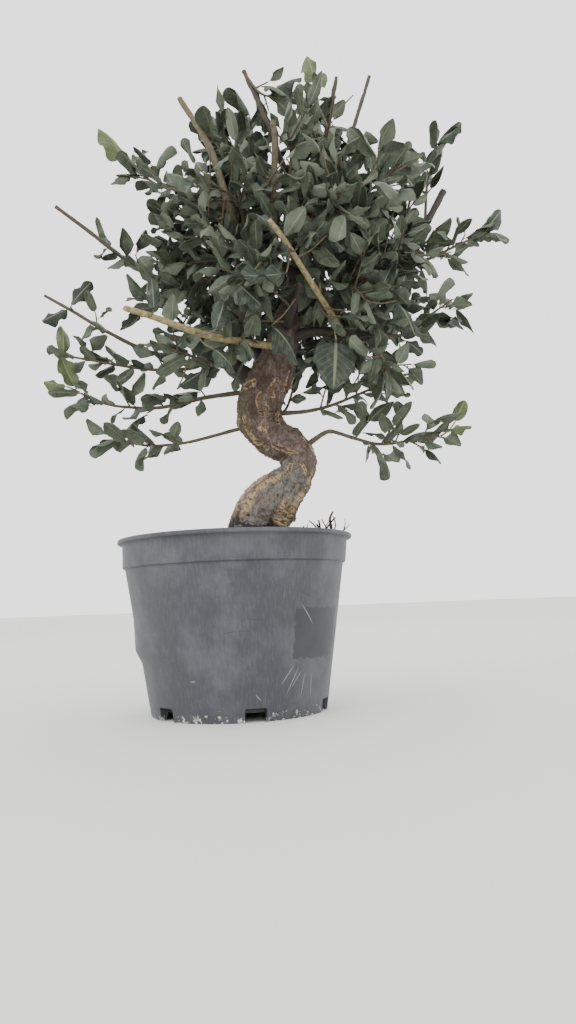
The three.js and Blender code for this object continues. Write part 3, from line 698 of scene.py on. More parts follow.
def weathered_plastic(pot):
    """Injection-moulded polypropylene, once black, gone dull and blue-grey with years outdoors.

    It scatters light softly, with a faint sheen. Upright scuffs and a dusty film lie over it, the
    plastic is darker where a label kept the dust off, and lime from the water crusts its foot.
    """
    look = Look("weathered_polypropylene", roughness=0.5, ior=1.49)
    x, y, z = look.axes(look.place)
    axis_x, axis_y = at((0, 0, 0))[:2]
    turn = look.math("ARCTAN2", look.math("SUBTRACT", y, axis_y), look.math("SUBTRACT", x, axis_x))

    # A dusty film in clouds about 34 mm across, and upright scuffs about 1.7 mm apart.
    dusty = look.soft_ramp(look.noise(34, 5, 0.62), 0.4, 0.68)
    scuffs = look.noise(1.7, 5, 0.75, stretch=0.14)
    scuffed = look.math("MULTIPLY", look.soft_ramp(scuffs, 0.42, 0.8), 0.22)
    colour = look.blend(dusty, pot.plastic, pot.dust)
    colour = look.blend(scuffed, colour, "#7f828a")
    patch = look.math("MULTIPLY", label_patch(look, turn, z), 0.75)
    colour = look.blend(patch, colour, "#2b2c32")
    # Scratches are pale where the plastic is whitened, and dark where dirt lies in them.
    for marks, tone in ((SCRATCHES, "#9c9ea2"), (SCORES, "#303136")):
        faint = look.math("MULTIPLY", scratches(look, turn, z, marks), 0.6)
        colour = look.blend(faint, colour, tone)
    # Lime: a crust of white specks on the lowest 15 mm.
    crust = look.math("ADD", look.noise(4, 6, 0.75), look.ramp(z, 1 * MM, 15 * MM, 0.2, 0))
    lime = look.soft_ramp(crust, 0.72, 0.8)
    colour = look.blend(lime, colour, "#c9c8bd")
    look.link("Roughness", look.ramp(scuffs, 0.3, 0.7, 0.46, 0.66))
    return look.finish(colour, look.math("ADD", scuffs, lime), 0.25, 0.3)


def potting_mix(soil):
    """Peat and composted bark: nearly black, dull and crumbly, with browner crumbs and fibres in it."""
    look = Look("potting_mix", roughness=0.95)
    inputs = {"Vector": look.place, "Scale": 1 / (2.5 * MM)}
    crumbs = look.node("SeparateColor", {0: look.node("TexVoronoi", inputs, output=1)})
    brown = look.ramp(look.math("MULTIPLY", crumbs, look.noise(9, 4)), 0.1, 0.6)
    colour = look.blend(brown, "#1f1a17", soil.crumb)
    return look.finish(colour, look.noise(0.9, 3), 0.6, 0.5)


def corky_bark(bark):
    """Living cork oak bark: dull and rough, brown above and grey with lichen below. Where it has
    split, fresh cork shows pale ochre. The attributes say where.
    """
    look = Look("cork_oak_bark", roughness=0.88)
    grain = look.noise(1.8, 5, 0.7, stretch=0.4)
    fresh = look.blend(grain, "#785f45", bark.cork)
    speck = look.ramp(grain, 0.36, 0.56, 0.75, 0)
    colour = look.blend(look.ramp(look.noise(12, 4), 0.38, 0.62), "#54443b", bark.plate)
    for where, tone in (
        ("lichen", bark.lichen), ("moss", "#615c46"), (speck, "#332b27"), ("split", "#6a5341"),
        ("cork", fresh), ("crack", "#3a2e25"), ("earth", "#251f1b"),
    ):
        share = look.attribute(where) if isinstance(where, str) else where
        colour = look.blend(share, colour, tone)
    return look.finish(colour, grain, 0.9, 1)


def twig_bark(foliage):
    """Young oak bark, smooth and thin: brown-grey on old wood, olive on the rods. The olive is partly painted
    light, given most to the rods at the front where light falls, and the dark brown is partly painted shade
    inside the crown.
    """
    look = Look("young_oak_bark", roughness=0.7)
    streaks = look.noise(3, 5, 0.65)
    # Painted light and shade: the olive share is highest on the rods at the front, and the dark twig brown
    # stands partly for shade inside the crown.
    colour = look.blend(look.attribute("olive_and_painted_light"), foliage.twig, foliage.rod)
    colour = look.blend(look.ramp(streaks, 0.4, 0.62, 0.55, 0), colour, "#2f2822")
    return look.finish(colour, streaks, 0.4, 0.3)


def leaf_face(name, dark, light, vein, roughness, sheen, vein_share, relief):
    """A leathery oak leaf, seen from one side. The veins follow the leaf's own UV map.

    The upper face is smooth and half glossy, with sunk pale veins. The under face is felted with
    fine hairs, so it is paler and dull, and its veins stand out. Veins are drawn about twice as wide
    as real ones, so that they show.
    """
    look = Look(name, roughness=roughness, ior=1.45, specular_ior_level=0.25, sheen_weight=sheen)
    u, v, _ = look.axes(look.node("UVMap", uv_map="UVMap"))
    aside = look.math("ABSOLUTE", look.math("SUBTRACT", v, 0.5))
    midrib = look.soft_ramp(aside, 0.02, 0.06, 1, 0)
    slant = look.math("MULTIPLY_ADD", aside, -0.55, u)
    ripple = look.math("COSINE", look.math("MULTIPLY", slant, 2 * math.pi * SIDE_VEINS))
    veins = look.math("MAXIMUM", midrib, look.ramp(ripple, 0.8, 1, 0, vein_share))
    # The tone attribute carries painted light and shade: it is darker on the placed front leaves and lighter
    # on the leaves inside the crown.
    tone_and_painted_light = look.math("MULTIPLY_ADD", look.attribute("tone"), 0.6, look.noise(5, 3))
    blade = look.blend(look.ramp(tone_and_painted_light, 0.4, 1.15), dark, light)
    colour = look.blend(look.math("MULTIPLY", veins, 0.6), blade, vein)
    return look.finish(colour, veins, 0.5, relief)


def cut_wood():
    """The sawn or snipped end of a stick: pale sapwood, dried to a dull tan."""
    look = Look("cut_oak_wood", roughness=0.8)
    return look.finish(look.blend(look.noise(0.8, 2), "#6f5c3a", "#a3925f"))


# ---- The pot ----

LEDGE_Z = POT.height - POT.lip_height - POT.collar_height
WALL_SLOPE = (POT.collar_foot_radius - POT.ledge - POT.foot_radius) / LEDGE_Z


def outer_wall(z):
    return POT.foot_radius + WALL_SLOPE * z


def inner_wall(z):
    return outer_wall(z) - POT.wall


def bulged(points):
    """Presses points near the wall out at one side, down to a crease above the foot."""
    x, y, z = vec(points).T
    radius = np.hypot(x, y)
    turn = np.degrees(np.arctan2(y, x)) - BULGE.angle
    aside = (turn - 360 * np.round(turn / 360)) / BULGE.spread
    push = np.interp(z, *zip(*BULGE.out)) * np.exp(-aside * aside)
    push[radius < POT.foot_radius * 0.9] = 0
    grown = 1 + push / np.maximum(radius, 1)
    return np.column_stack([x * grown, y * grown, z])


def rounded(x, z, radius, first, last, steps=4):
    """Points of a rounded edge about (x, z) in an outline, between two angles."""
    angles = np.radians(np.linspace(first, last, steps + 1))
    return [(x + radius * math.cos(a), z + radius * math.sin(a)) for a in angles]


def pot_outline():
    """The wall's outline of (radius, height), from under the base plate round the lip to inside."""
    plate_top = POT.plate_z + POT.plate
    lip_foot = POT.height - POT.lip_height
    foot = POT.foot_radius - POT.foot_width
    lip, edge = 1.2, 0.6  # how round the lip and the other edges are
    heights = [7, 14, 22, 30, 36, 41, 44, 47, 51, 56, 64, 76, 90, 104]
    return [
        (0, POT.plate_z), (foot - 2, POT.plate_z), (foot - 0.3, 0.6), (foot, 0),
        *rounded(POT.foot_radius - edge, edge, edge, -90, 0),
        *[(outer_wall(z), z) for z in heights],
        (outer_wall(LEDGE_Z - 2), LEDGE_Z - 2), (outer_wall(LEDGE_Z - 1), LEDGE_Z - 0.9),
        *rounded(POT.collar_foot_radius - edge, LEDGE_Z + edge, edge, -90, 0),
        ((POT.collar_foot_radius + POT.collar_radius) / 2, (LEDGE_Z + lip_foot) / 2),
        (POT.collar_radius - 0.1, lip_foot - 0.5), (POT.collar_radius + 0.4, lip_foot),
        *rounded(POT.lip_radius - lip, lip_foot + lip, lip, -90, 0),
        *rounded(POT.lip_radius - lip, POT.height - lip, lip, 0, 90),
        *rounded(POT.collar_radius - POT.wall + edge, POT.height - edge, edge, 90, 180, 2),
        (POT.collar_foot_radius - POT.wall, LEDGE_Z + 1), (inner_wall(LEDGE_Z - 3), LEDGE_Z - 3),
        *[(inner_wall(z), z) for z in reversed(heights) if z > plate_top],
        (inner_wall(plate_top), plate_top), (0, plate_top),
    ]


def nursery_pot(settings):
    axis = at((0, 0, 0))
    pot = start("pot_body", bpy.ops.mesh.primitive_plane_add, size=MM, location=axis)
    in_edit_mode(pot, (bpy.ops.mesh.merge, dict(type="CENTER")))
    moves = [dict(value=(r, 0, z)) for r, z in np.diff([(0, 0), *pot_outline()], axis=0) * MM]
    extrude = bpy.ops.mesh.extrude_region_move
    turn = dict(steps=settings.sides, angle=2 * math.pi, center=tuple(axis), axis=(0, 0, 1))
    in_edit_mode(
        pot,
        (bpy.ops.transform.translate, moves[0]),
        *[(extrude, dict(TRANSFORM_OT_translate=move)) for move in moves[1:]],
        (bpy.ops.mesh.select_all, dict(action="SELECT")),
        (bpy.ops.mesh.spin, turn),
        (bpy.ops.mesh.select_all, dict(action="SELECT")),
        (bpy.ops.mesh.remove_doubles, dict(threshold=0.01 * MM)),
        (bpy.ops.mesh.normals_make_consistent, dict(inside=False)),
    )
    select_only(pot)
    bpy.ops.object.transform_apply(location=True, rotation=True, scale=True)
    move_points(pot, at(bulged(points_of(pot) / MM - PLANT_SHIFT)))
    for i in range(NOTCH.count):
        cut_notch(pot, math.radians(NOTCH.phase + 360 / NOTCH.count * i))
    smooth(pot, 32)
    dress(pot, weathered_plastic(settings))
    hand_over(pot, "nursery_pot")


def cut_notch(pot, turn):
    """Cuts one drain notch through the foot, with its upper corners rounded."""
    middle = (POT.foot_radius * math.sin(turn), -POT.foot_radius * math.cos(turn), 0)
    cutter = start(
        "notch_cutter", bpy.ops.mesh.primitive_cube_add, size=1, location=at(middle),
        rotation=(0, 0, turn), scale=vec((NOTCH.width, 2 * NOTCH.depth, 2 * NOTCH.height)) * MM,
    )
    modify(cutter, "BEVEL", width=NOTCH.corner * MM, segments=3)
    modify(pot, "BOOLEAN", operation="DIFFERENCE", object=cutter, solver="EXACT")
    bpy.data.objects.remove(cutter)


# ---- The soil ----

# Dry roots that stick up at the rim: foot (x, y), lean and height, and how thick they are.
ROOT_BITS = (
    ((74, -38), (4, -3, 22), 2.8), ((77, -32), (-6, 1, 19), 2.2), ((78, -26), (9, -4, 16), 1.4),
    ((70, -44), (-9, -2, 16), 1.8), ((79, -20), (12, -6, 13), 1.1), ((66, -48), (8, -5, 15), 1.2),
    ((76, -30), (3, 1, 20), 2), ((72, -36), (-4, 2, 17), 2.4), ((80, -14), (8, 2, 13), 1.4),
    ((54, -60), (4, -4, 11), 1.3), ((62, -54), (-3, 2, 11), 1.2), ((75, -36), (-8, -4, 15), 2.6),
    ((70, -40), (9, 0, 17), 2), ((64, -50), (-7, 1, 12), 1.6),
)


def soil_top(x, y):
    centre_x, centre_y = TRUNK.path[1][:2]
    far = np.hypot(x - centre_x, y - centre_y)
    lumps = np.sin(0.21 * x + 1.1) * np.cos(0.17 * y) + 0.6 * np.sin(0.33 * y + 0.29 * x)
    return SOIL.edge_z + SOIL.mound * np.exp(-((far / SOIL.mound_spread) ** 2)) + SOIL.bump * lumps


def clods(x, y):
    """Height of the crumbs on the soil: clods about 5 mm across, with finer grit on them."""
    spots = [Vector((px, py, 0)) for px, py in zip(x, y)]
    near = np.array([noise.voronoi(spot / 5.5)[0][0] for spot in spots])
    return 1.5 * (0.55 - near) + 0.8 * fractal(spots, 3, 3, 2)


def soil_body(settings):
    """Potting mix that fills the pot and is heaped against the trunk."""
    low = POT.plate_z + POT.plate + 0.4
    rim = inner_wall(SOIL.edge_z) - 1.5
    bends = [z for z, _ in BULGE.out[1:4]]
    sides = [(inner_wall(z) - SOIL.clear, z) for z in (low, *bends)]
    radii, heights = vec([(0, low), *sides, (rim, SOIL.edge_z - 4)]).T
    lower = len(radii)

    def place(turn, share):
        row = np.round(share * settings.rows).astype(int)
        inwards = np.maximum((row - lower) / (settings.rows - lower), 0)
        wall = np.minimum(row, lower - 1)
        radius = np.where(row < lower, radii[wall], rim * (1 - inwards))
        x, y = radius * np.cos(2 * math.pi * turn), radius * np.sin(2 * math.pi * turn)
        surface = soil_top(x, y) + clods(x, y) * np.clip((rim - radius) / 4, 0.2, 1)
        z = np.where(row < lower, heights[wall], surface)
        return at(bulged(np.column_stack([x, y, z])))

    soil = rolled_grid("soil_heap", settings.around, settings.rows, place)
    close_up(soil)
    return soil


def scattered_crumbs(settings, dice):
    """Loose crumbs of bark and peat on the soil, modelled once and copied."""
    model = start("crumb", bpy.ops.mesh.primitive_ico_sphere_add, subdivisions=1, radius=0.5)
    points = points_of(model) * dice.uniform(0.7, 1.2, (len(model.data.vertices), 1))
    shapes = []
    for _ in range(settings.crumbs):
        radius = SOIL.reach * math.sqrt(dice.uniform(0.02, 1))
        x, y = polar(radius, dice.uniform(0, 2 * math.pi))
        size = dice.uniform(1.4, 4.2) * vec((1, dice.uniform(0.5, 0.9), dice.uniform(0.4, 0.8)))
        turned = points * size @ np.array(Matrix.Rotation(dice.uniform(0, 6.28), 3, "Z"))
        shapes.append(at(turned + (x, y, soil_top(x, y) + 0.6)))
    faces = [
        [v + len(points) * n for v in face.vertices]
        for n in range(len(shapes)) for face in model.data.polygons
    ]
    bpy.data.objects.remove(model)
    return meshed("crumbs", shapes, faces)


def root_hairs(settings, dice):
    """Dry roots that stick up at the rim, and thin ones that lie over the soil."""
    limbs = []
    for (x, y), lean, thick in ROOT_BITS:
        foot = vec((x, y, soil_top(x, y) - 3))
        bends = np.vstack([np.zeros(3), dice.uniform(-3, 3, (2, 3)), np.zeros(3)])
        path = foot + np.outer((0, 0.5, 0.8, 1.15), lean) + bends
        limbs.append((at(stations(path, 12)), np.linspace(thick, thick * 0.5, 13) / 2 * MM))
    for _ in range(settings.hairs):
        angle, radius = dice.uniform(0, 2 * math.pi), 80 * math.sqrt(dice.uniform(0.05, 1))
        x, y = polar(radius, angle)
        run, turn = dice.uniform(6, 18), dice.uniform(0, 2 * math.pi)
        path = []
        for k in range(4):
            px, py = vec((x, y)) + polar(run * k / 3, turn) + dice.uniform(-1.5, 1.5, 2)
            inside = min(1, SOIL.reach / math.hypot(px, py))
            px, py = px * inside, py * inside
            path.append((px, py, soil_top(px, py) + dice.uniform(0.2, 2.5)))
        limbs.append((at(stations(path, 9)), np.linspace(0.9, 0.4, 10) / 2 * MM))
    return round_wood("root_hairs", limbs, 0)


def potting_soil(settings):
    dice = np.random.default_rng(SEED)
    crumbs = soil_body(settings), scattered_crumbs(settings, dice), root_hairs(settings, dice)
    soil = join(crumbs)
    smooth(soil, 60)
    dress(soil, potting_mix(settings))
    hand_over(soil, "potting_soil")


# ---- The wood ----

# Strips of bare cork along the lower trunk: degrees to the right of the viewer's side, half the
# width in degrees, and where along the trunk the strip starts and ends.
CORK_STRIPS = (
    (-66, 13, 0.12, 0.25), (-38, 12, 0.12, 0.3), (36, 12, 0.12, 0.27), (60, 12, 0.13, 0.3),
    (62, 8, 0.3, 0.37),
)
# Splits in the upper bark, rimmed with fresh cork: half the width in millimetres, then points by
# degrees to the right of the viewer's side and share of the trunk's length.
SPLITS = (
    (2.4, (3, 0.771), (-2, 0.739), (7, 0.711), (9, 0.645)), (1.6, (23, 0.74), (26, 0.704), (19, 0.63)),
    (2.2, (29, 0.825), (22, 0.793), (34, 0.775)), (1.7, (1, 0.618), (-17, 0.6), (-13, 0.579)),
    (2.2, (-44, 0.672), (-50, 0.632), (-53, 0.596), (-58, 0.571)), (1.5, (52, 0.45), (60, 0.4)),
    (2.2, (-29, 0.518), (-31, 0.471), (-26, 0.429), (-12, 0.405)), (2, (-23, 0.34), (-20, 0.29)),
    (2.6, (-78, 0.764), (-47, 0.779), (-29, 0.795)), (1.6, (58, 0.861), (68, 0.832), (64, 0.78)),
    (1.8, (-56, 0.589), (-50, 0.564), (-54, 0.532)), (1.5, (-1, 0.579), (-19, 0.546), (-36, 0.539)),
    (1.5, (-70, 0.65), (-64, 0.69)), (1.6, (8, 0.357), (31, 0.336)),
    (1.6, (60, 0.66), (48, 0.6), (40, 0.56)),
)


def limb_frames(line):
    """A direction across the limb at each station, carried along it without twisting."""
    ahead = np.vstack([line[1:], line[-1:]]) - np.vstack([line[:1], line[:-1]])
    tangents = ahead / np.linalg.norm(ahead, axis=1)[:, None]
    normals = [around(tangents[0], 0)]
    for tangent in tangents:
        normals.append(square_to(tangent, normals[-1]))
    normals = np.array(normals[1:])
    return normals, np.cross(tangents, normals)


def bark_relief(share, angle):
    """The large ridges and knots, as in the part's source, as a share of the radius."""
    ridges = np.cos(5 * angle + 9 * share) + 0.6 * np.cos(8 * angle - 14 * share + 1.3)
    knots = np.sin(31 * share + 2 * angle) + np.sin(53 * share - 3 * angle)
    return 0.045 * ridges + 0.022 * knots


def step_up(values, low, high):
    """Rises smoothly from 0 to 1 between two limits."""
    t = np.clip((values - low) / (high - low), 0, 1)
    return t * t * (3 - 2 * t)


def ridge(values, middle, width):
    """1 where values lie at a middle, fading to 0 beside it."""
    return np.exp(-(((values - middle) / width) ** 2))


def cracked(straight, width, length):
    """How far points are from the cracks between plates of a width and a length."""
    noise.seed_set(SEED)  # noise_vector would differ from run to run without it
    gaps = []
    for point in straight:
        x, y, z = Vector(point) + noise.noise_vector(Vector(point) / 18) * 3
        near = noise.voronoi(Vector((x / width, y / width, z / length)))[0]
        gaps.append(near[1] - near[0])
    return np.array(gaps)


def fractal(points, scale, octaves=4, lacunarity=2.1):
    values = [noise.fractal(Vector(p) / scale, 0.8, lacunarity, octaves) for p in points]
    return np.array(values)


def beside_splits(facing, share, radius, length):
    """How far points on the trunk are from the edge of the nearest split, less than 0 inside it."""
    spot = np.column_stack([radius * facing, share * length])
    nearest = np.full(len(share), np.inf)
    for half, *path in SPLITS:
        spots = [
            np.column_stack([radius * math.radians(turn), np.full(len(share), up * length)])
            for turn, up in path
        ]
        for first, last in zip(spots, spots[1:]):
            run = last - first
            t = np.clip(((spot - first) * run).sum(axis=1) / (run**2).sum(axis=1), 0, 1)
            far = np.linalg.norm(spot - first - run * t[:, None], axis=1)
            nearest = np.minimum(nearest, far - half)
    return nearest


def cork_strips(facing, share, fine, coarse):
    strips = np.zeros(len(share))
    for middle, half, low, high in CORK_STRIPS:
        inside = half - abs(np.degrees(facing) - middle + 9 * coarse)
        begun = step_up(share + 0.03 * fine, low, low + 0.02)
        ended = step_up(share + 0.03 * coarse, high - 0.03, high)
        strips = np.maximum(strips, step_up(inside, 0, 4) * begun * (1 - ended))
    return strips


def trunk_bark(straight, facing, share, radius, length):
    """What marks the bark at each point of the trunk, and how far it stands out in millimetres.

    Above, it is rough and grey, with splits and long loops of pale fresh cork. Below, strips of
    bare cork lie between lichen.
    """
    fine, coarse = fractal(straight, 2.4, 3), fractal(straight * (1, 1, 0.6), 7, 3)
    sway = np.outer(2.2 * np.sin(straight[:, 2] / 5 + 3 * coarse), (1, 0, 0))
    loops = fractal((straight + sway) * (1, 1, 0.2) + 40, 6.5, 2)
    strips = cork_strips(facing, share, fine, coarse)
    bark = 1 - strips
    upper = step_up(share, 0.3, 0.42)
    beside = beside_splits(facing, share, radius, length) + 1.2 * fine + 1.1 * coarse + 0.5
    at_back = step_up(abs(facing), 1, 1.5) * upper
    lips = ridge(beside, 0, 0.6) * step_up(coarse + 0.5 * fine, -0.5, -0.1)
    rims = np.maximum(lips, ridge(loops, 0.36, 0.1) * at_back) * bark
    splits = np.maximum(step_up(-beside, 0.3, 0.9), step_up(loops, 0.45, 0.56) * at_back) * bark
    cracks = (1 - step_up(cracked(straight, 9, 2.8), 0.01, 0.1)) * strips
    fissures = (1 - step_up(cracked(straight, 4.5, 11), 0.02, 0.16)) * bark * (1 - rims)
    marks = dict(
        cork=np.maximum(0.85 * strips, step_up(rims + 0.2 * fine, 0.25, 0.8)),
        split=splits,
        crack=np.maximum(cracks, 0.6 * fissures * step_up(fine, -0.3, 0.3)),
        lichen=step_up(0.9 * coarse - upper + 0.35, -0.1, 0.5),
        moss=step_up(-facing, 0.3, 1) * step_up(share, 0.5, 0.6) * step_up(-share, -0.82, -0.72),
        earth=step_up(-share - 0.03 * coarse - 0.02 * fine, -0.12, -0.105),
    )
    depth = 0.6 * strips + 0.5 * (rims - cracks - fissures) - 0.4 * splits
    return marks, depth + 0.6 * fine + 1.2 * coarse


def trunk_limb(settings):
    """The winding trunk."""
    line = stations(TRUNK.path, settings.steps)
    length = line_length(line)
    normals, binormals = limb_frames(line)
    ahead = np.cross(normals, binormals)
    right = np.cross(ahead, (0, -1, 0))
    right /= np.linalg.norm(right, axis=1)[:, None]
    front = np.cross(right, ahead)
    marks = {}

    def place(turn, share):
        row = np.round(share * settings.steps).astype(int)
        angle = 2 * math.pi * turn
        sine, cosine = np.sin(angle), np.cos(angle)
        across = normals[row] * sine[:, None] + binormals[row] * cosine[:, None]
        facing = np.arctan2((across * right[row]).sum(axis=1), (across * front[row]).sum(axis=1))
        last = len(TRUNK.thick) - 1
        radius = np.interp(share * last, range(last + 1), TRUNK.thick) / 2
        straight = np.column_stack([radius * sine, radius * cosine, share * length])
        found, depth = trunk_bark(straight, facing, share, radius, length)
        marks.update(found)
        radius = radius * (1 + bark_relief(share, angle)) + settings.relief / MM * depth
        return at(line[row] + across * radius[:, None])

    trunk = rolled_grid("corky_wood", settings.sides, settings.steps, place)
    for name, values in marks.items():
        mark(trunk, name, values)
    close_up(trunk)
    dress(trunk, corky_bark(settings))
    return trunk


def bough_limb(number, name, wood, looks):
    """One bare bough, knotty and with its end cut off."""
    count = max(24, round(line_length(stations(wood.path, 12)) / 2.5))
    line = stations(wood.path, count)
    share = np.linspace(0, 1, count + 1)
    radii = mix(wood.thick[0], wood.thick[1] * 0.85, share**0.6) / 2
    knots = 1 + 0.04 * np.sin(23 * share + number) + 0.04 * np.sin(61 * share + 2 * number)
    piece = round_wood(name, [(at(line), radii * knots * MM)], 4)
    points = points_of(piece)
    normals = read(piece.data.vertex_normals, "vector", 3)
    bumps = 0.35 * MM * fractal(points / MM, 4)
    move_points(piece, points + normals * bumps[:, None])
    nearest = distances(points / MM, at(line) / MM).argmin(axis=1) / count
    # Painted light: the sticks that show at the front turn olive towards their ends.
    mark(piece, "olive_and_painted_light", OLIVE_AND_PAINTED_LIGHT_BOUGHS.get(name, 0) * step_up(nearest, 0.3, 0.7))
    dress(piece, *looks)
    return piece


def corky_wood(settings, bark):
    trunk, looks = trunk_limb(settings), (bark, cut_wood())
    boughs = [bough_limb(n, *named, looks) for n, named in enumerate(BOUGHS.items())]
    wood = join([trunk, *boughs])
    smooth(wood, 70)
    hand_over(wood, "trunk")


# ---- The leaves ----

STALK_SHARE = 0.1  # of a leaf's length
STALK_HALF = 0.035  # the least half width, as a share of the leaf's width

# Leaf shapes that are copied. foot and tip say how blunt the ends are, 0.5 being round; fold lifts the
# halves, cup turns the margins down, arch bends the blade down its length, twist turns it, wave runs
# along the edge, and tooth notches it.
LeafShape = namedtuple("LeafShape", "foot tip fold cup arch twist wave tooth")
LEAF_SHAPES = (
    LeafShape(0.5, 0.6, 0.1, 0.2, 0.25, 0.4, 0.1, 0.03),
    LeafShape(0.5, 0.7, -0.1, 0.3, 0.5, -0.6, 0.13, 0.02),
    LeafShape(0.52, 0.5, 0.2, 0.1, -0.25, 0.3, 0.14, 0.04),
    LeafShape(0.45, 0.6, -0.05, 0.5, 0.75, 0.8, 0.1, 0.02),
    LeafShape(0.55, 0.65, 0.25, 0.1, 0.3, -1, 0.16, 0.03),
    LeafShape(0.5, 0.5, 0.05, 0.4, 0.1, -0.3, 0.12, 0.02),
)
BROAD_SHAPE = LeafShape(0.24, 0.62, 0.05, 0.1, 0.1, 0.1, 0.05, 0.03)
# Each kind of leaf: columns and rows of faces, and its shapes.
LEAF_KINDS = dict(
    plain=(8, 4, LEAF_SHAPES), fine=(16, 6, LEAF_SHAPES), broad=(16, 8, (BROAD_SHAPE,))
)


def leaf_model(name, columns, rows, shape, settings):
    """One leaf along +X with its stalk at the origin and its upper face up, in its real size."""
    leaf, column, aside = flat_grid(name, columns, rows)
    column, aside = np.round(column * columns), 2 * aside - 1
    edge = np.sign(aside)
    blade = (1 - np.cos(math.pi * np.maximum(column - 1, 0) / (columns - 1))) / 2
    x = np.where(column > 0, mix(STALK_SHARE, 1, blade), 0)
    widest = shape.foot / (shape.foot + shape.tip)
    half = (blade / widest) ** shape.foot * ((1 - blade) / (1 - widest)) ** shape.tip / 2
    teeth = np.sin(2.2 * column) + 0.8 * np.sin(4.1 * column + edge)
    half = np.maximum(half * (1 + shape.tooth * teeth * (abs(aside) > 0.9)), STALK_HALF)
    y = aside * half
    z = shape.fold * abs(y) - shape.cup * aside**2 * half - shape.arch * (x - 0.3) ** 2
    ripple = np.sin(columns * 0.85 * x + 1.6 * edge)
    z = z + shape.wave * abs(aside) ** 3 * ripple * half * 2
    angle = shape.twist * (x - 0.3)
    y, z = y * np.cos(angle) - z * np.sin(angle), y * np.sin(angle) + z * np.cos(angle)
    place = np.column_stack([x, y, z])
    move_points(leaf, place * (settings.leaf_length, settings.leaf_width, settings.leaf_length))
    corners = read(leaf.data.loops, "vertex_index", kind=int)
    flat_map = np.column_stack([x, aside / 2 + 0.5])[corners]
    leaf.data.uv_layers[0].data.foreach_set("uv", flat_map.ravel())
    dress(leaf, None, None)
    modify(leaf, "SOLIDIFY", thickness=settings.leaf_thickness, offset=0, material_offset=1)
    return LeafModel(leaf)


class LeafModel:
    """A modelled leaf's vertices, faces, UV map and face materials, ready to copy."""

    def __init__(self, piece):
        mesh = piece.data
        self.points = points_of(piece)
        self.faces = np.array([tuple(face.vertices) for face in mesh.polygons])
        self.looks = read(mesh.polygons, "material_index", kind=int)
        self.uv = read(mesh.uv_layers[0].data, "uv", 2)
        bpy.data.objects.remove(piece)


def copied_leaves(name, leaves, models, dice):
    """Every leaf of a piece as a copy of a modelled one, turned and sized to its place."""
    points, faces, looks, uvs, tones_and_painted_light = [], [], [], [], []
    total = 0
    for leaf in leaves:
        kind = "broad" if leaf.width > BROAD_LEAF else "fine" if leaf.placed else "plain"
        model = models[kind][dice.integers(len(models[kind]))]
        long, wide, roll = leaf.length / LEAF.length, leaf.width / LEAF.width, 0
        if not leaf.placed:
            roll = dice.normal(0, 0.5)
            long *= dice.uniform(0.8, 1.15)
            wide *= dice.uniform(0.5, 0.85)
        side = np.cross(leaf.normal, leaf.heading)
        normal = leaf.normal * math.cos(roll) + side * math.sin(roll)
        side = np.cross(normal, leaf.heading)
        turn = np.array([leaf.heading * long, side * wide, normal * long])
        points.append(model.points @ turn + at(leaf.base))
        faces += (model.faces + total).tolist()
        looks.append(model.looks)
        uvs.append(model.uv)
        # Painted light and shade: placed leaves, most of them at the front facing the lights, get a darker
        # tone, and the other leaves, mostly in the crown's shade, a lighter one. Within each group the tone
        # differs at random.
        tone = dice.uniform(-0.25, 0.05) if leaf.placed else dice.uniform(0.3, 1)
        tones_and_painted_light.append(np.full(len(model.points), tone))
        total += len(model.points)
    piece = meshed(name, points, faces)
    piece.data.polygons.foreach_set("material_index", np.concatenate(looks))
    flat_map = piece.data.uv_layers.new(name="UVMap")
    flat_map.data.foreach_set("uv", np.concatenate(uvs).ravel())
    mark(piece, "tone", np.concatenate(tones_and_painted_light))
    return piece


def stem_wood(name, limbs, olive_and_painted_light):
    """A leafy stem's wood, knotted where leaves have stood."""
    shapes = []
    for limb in limbs:
        count = max(4, round(line_length(limb.line) / 4))
        step = np.arange(count + 1)
        knots = 1 + 0.05 * np.sin(2.2 * step + limb.thick[0]) + 0.03 * np.sin(5.1 * step)
        slim = mix(*limb.thick, (step / count) ** 0.5) * mix(1, 0.85, step / count)
        shapes.append((at(stations(limb.line, count)), slim / 2 * knots * MM))
    wood = round_wood(name, shapes, 1)
    mark(wood, "olive_and_painted_light", olive_and_painted_light)
    return wood


def thick_wood():
    """Points along the trunk and boughs with the wood's radius at each."""
    count, last = 60, len(TRUNK.thick) - 1
    shares = np.linspace(0, last, count + 1)
    trunk = stations(TRUNK.path, count), np.interp(shares, range(last + 1), TRUNK.thick) / 2
    points, radii = zip(trunk, *map(bough_points, BOUGHS.values()))
    return np.vstack(points), np.concatenate(radii)


def rods_in_view():
    """Points along the bare rods that are seen in front of the crown."""
    wood = {**BOUGHS, **STEMS}
    return vec([
        on_curve(wood[name].path, t)
        for name, share in RODS_IN_VIEW.items() for t in np.linspace(share, 1, 24)
    ])


def has_room(leaf, wood, rods):
    """False where a leaf would run into thick wood, or hang in front of a bare rod."""
    spots = leaf.base + leaf.heading * leaf.length * np.array([[0.5], [0.9]])
    points, radii = wood
    if (distances(spots, points) < radii + WOOD_CLEAR).any():
        return False
    sight = rods - vec(CAMERA.place)
    far = np.linalg.norm(sight, axis=1)
    sight /= far[:, None]
    for spot in spots - CAMERA.place:
        near = sight @ spot
        off = np.linalg.norm(spot - near[:, None] * sight, axis=1)
        if ((near < far - 1) & (off < SIGHT_CLEAR)).any():
            return False
    return True


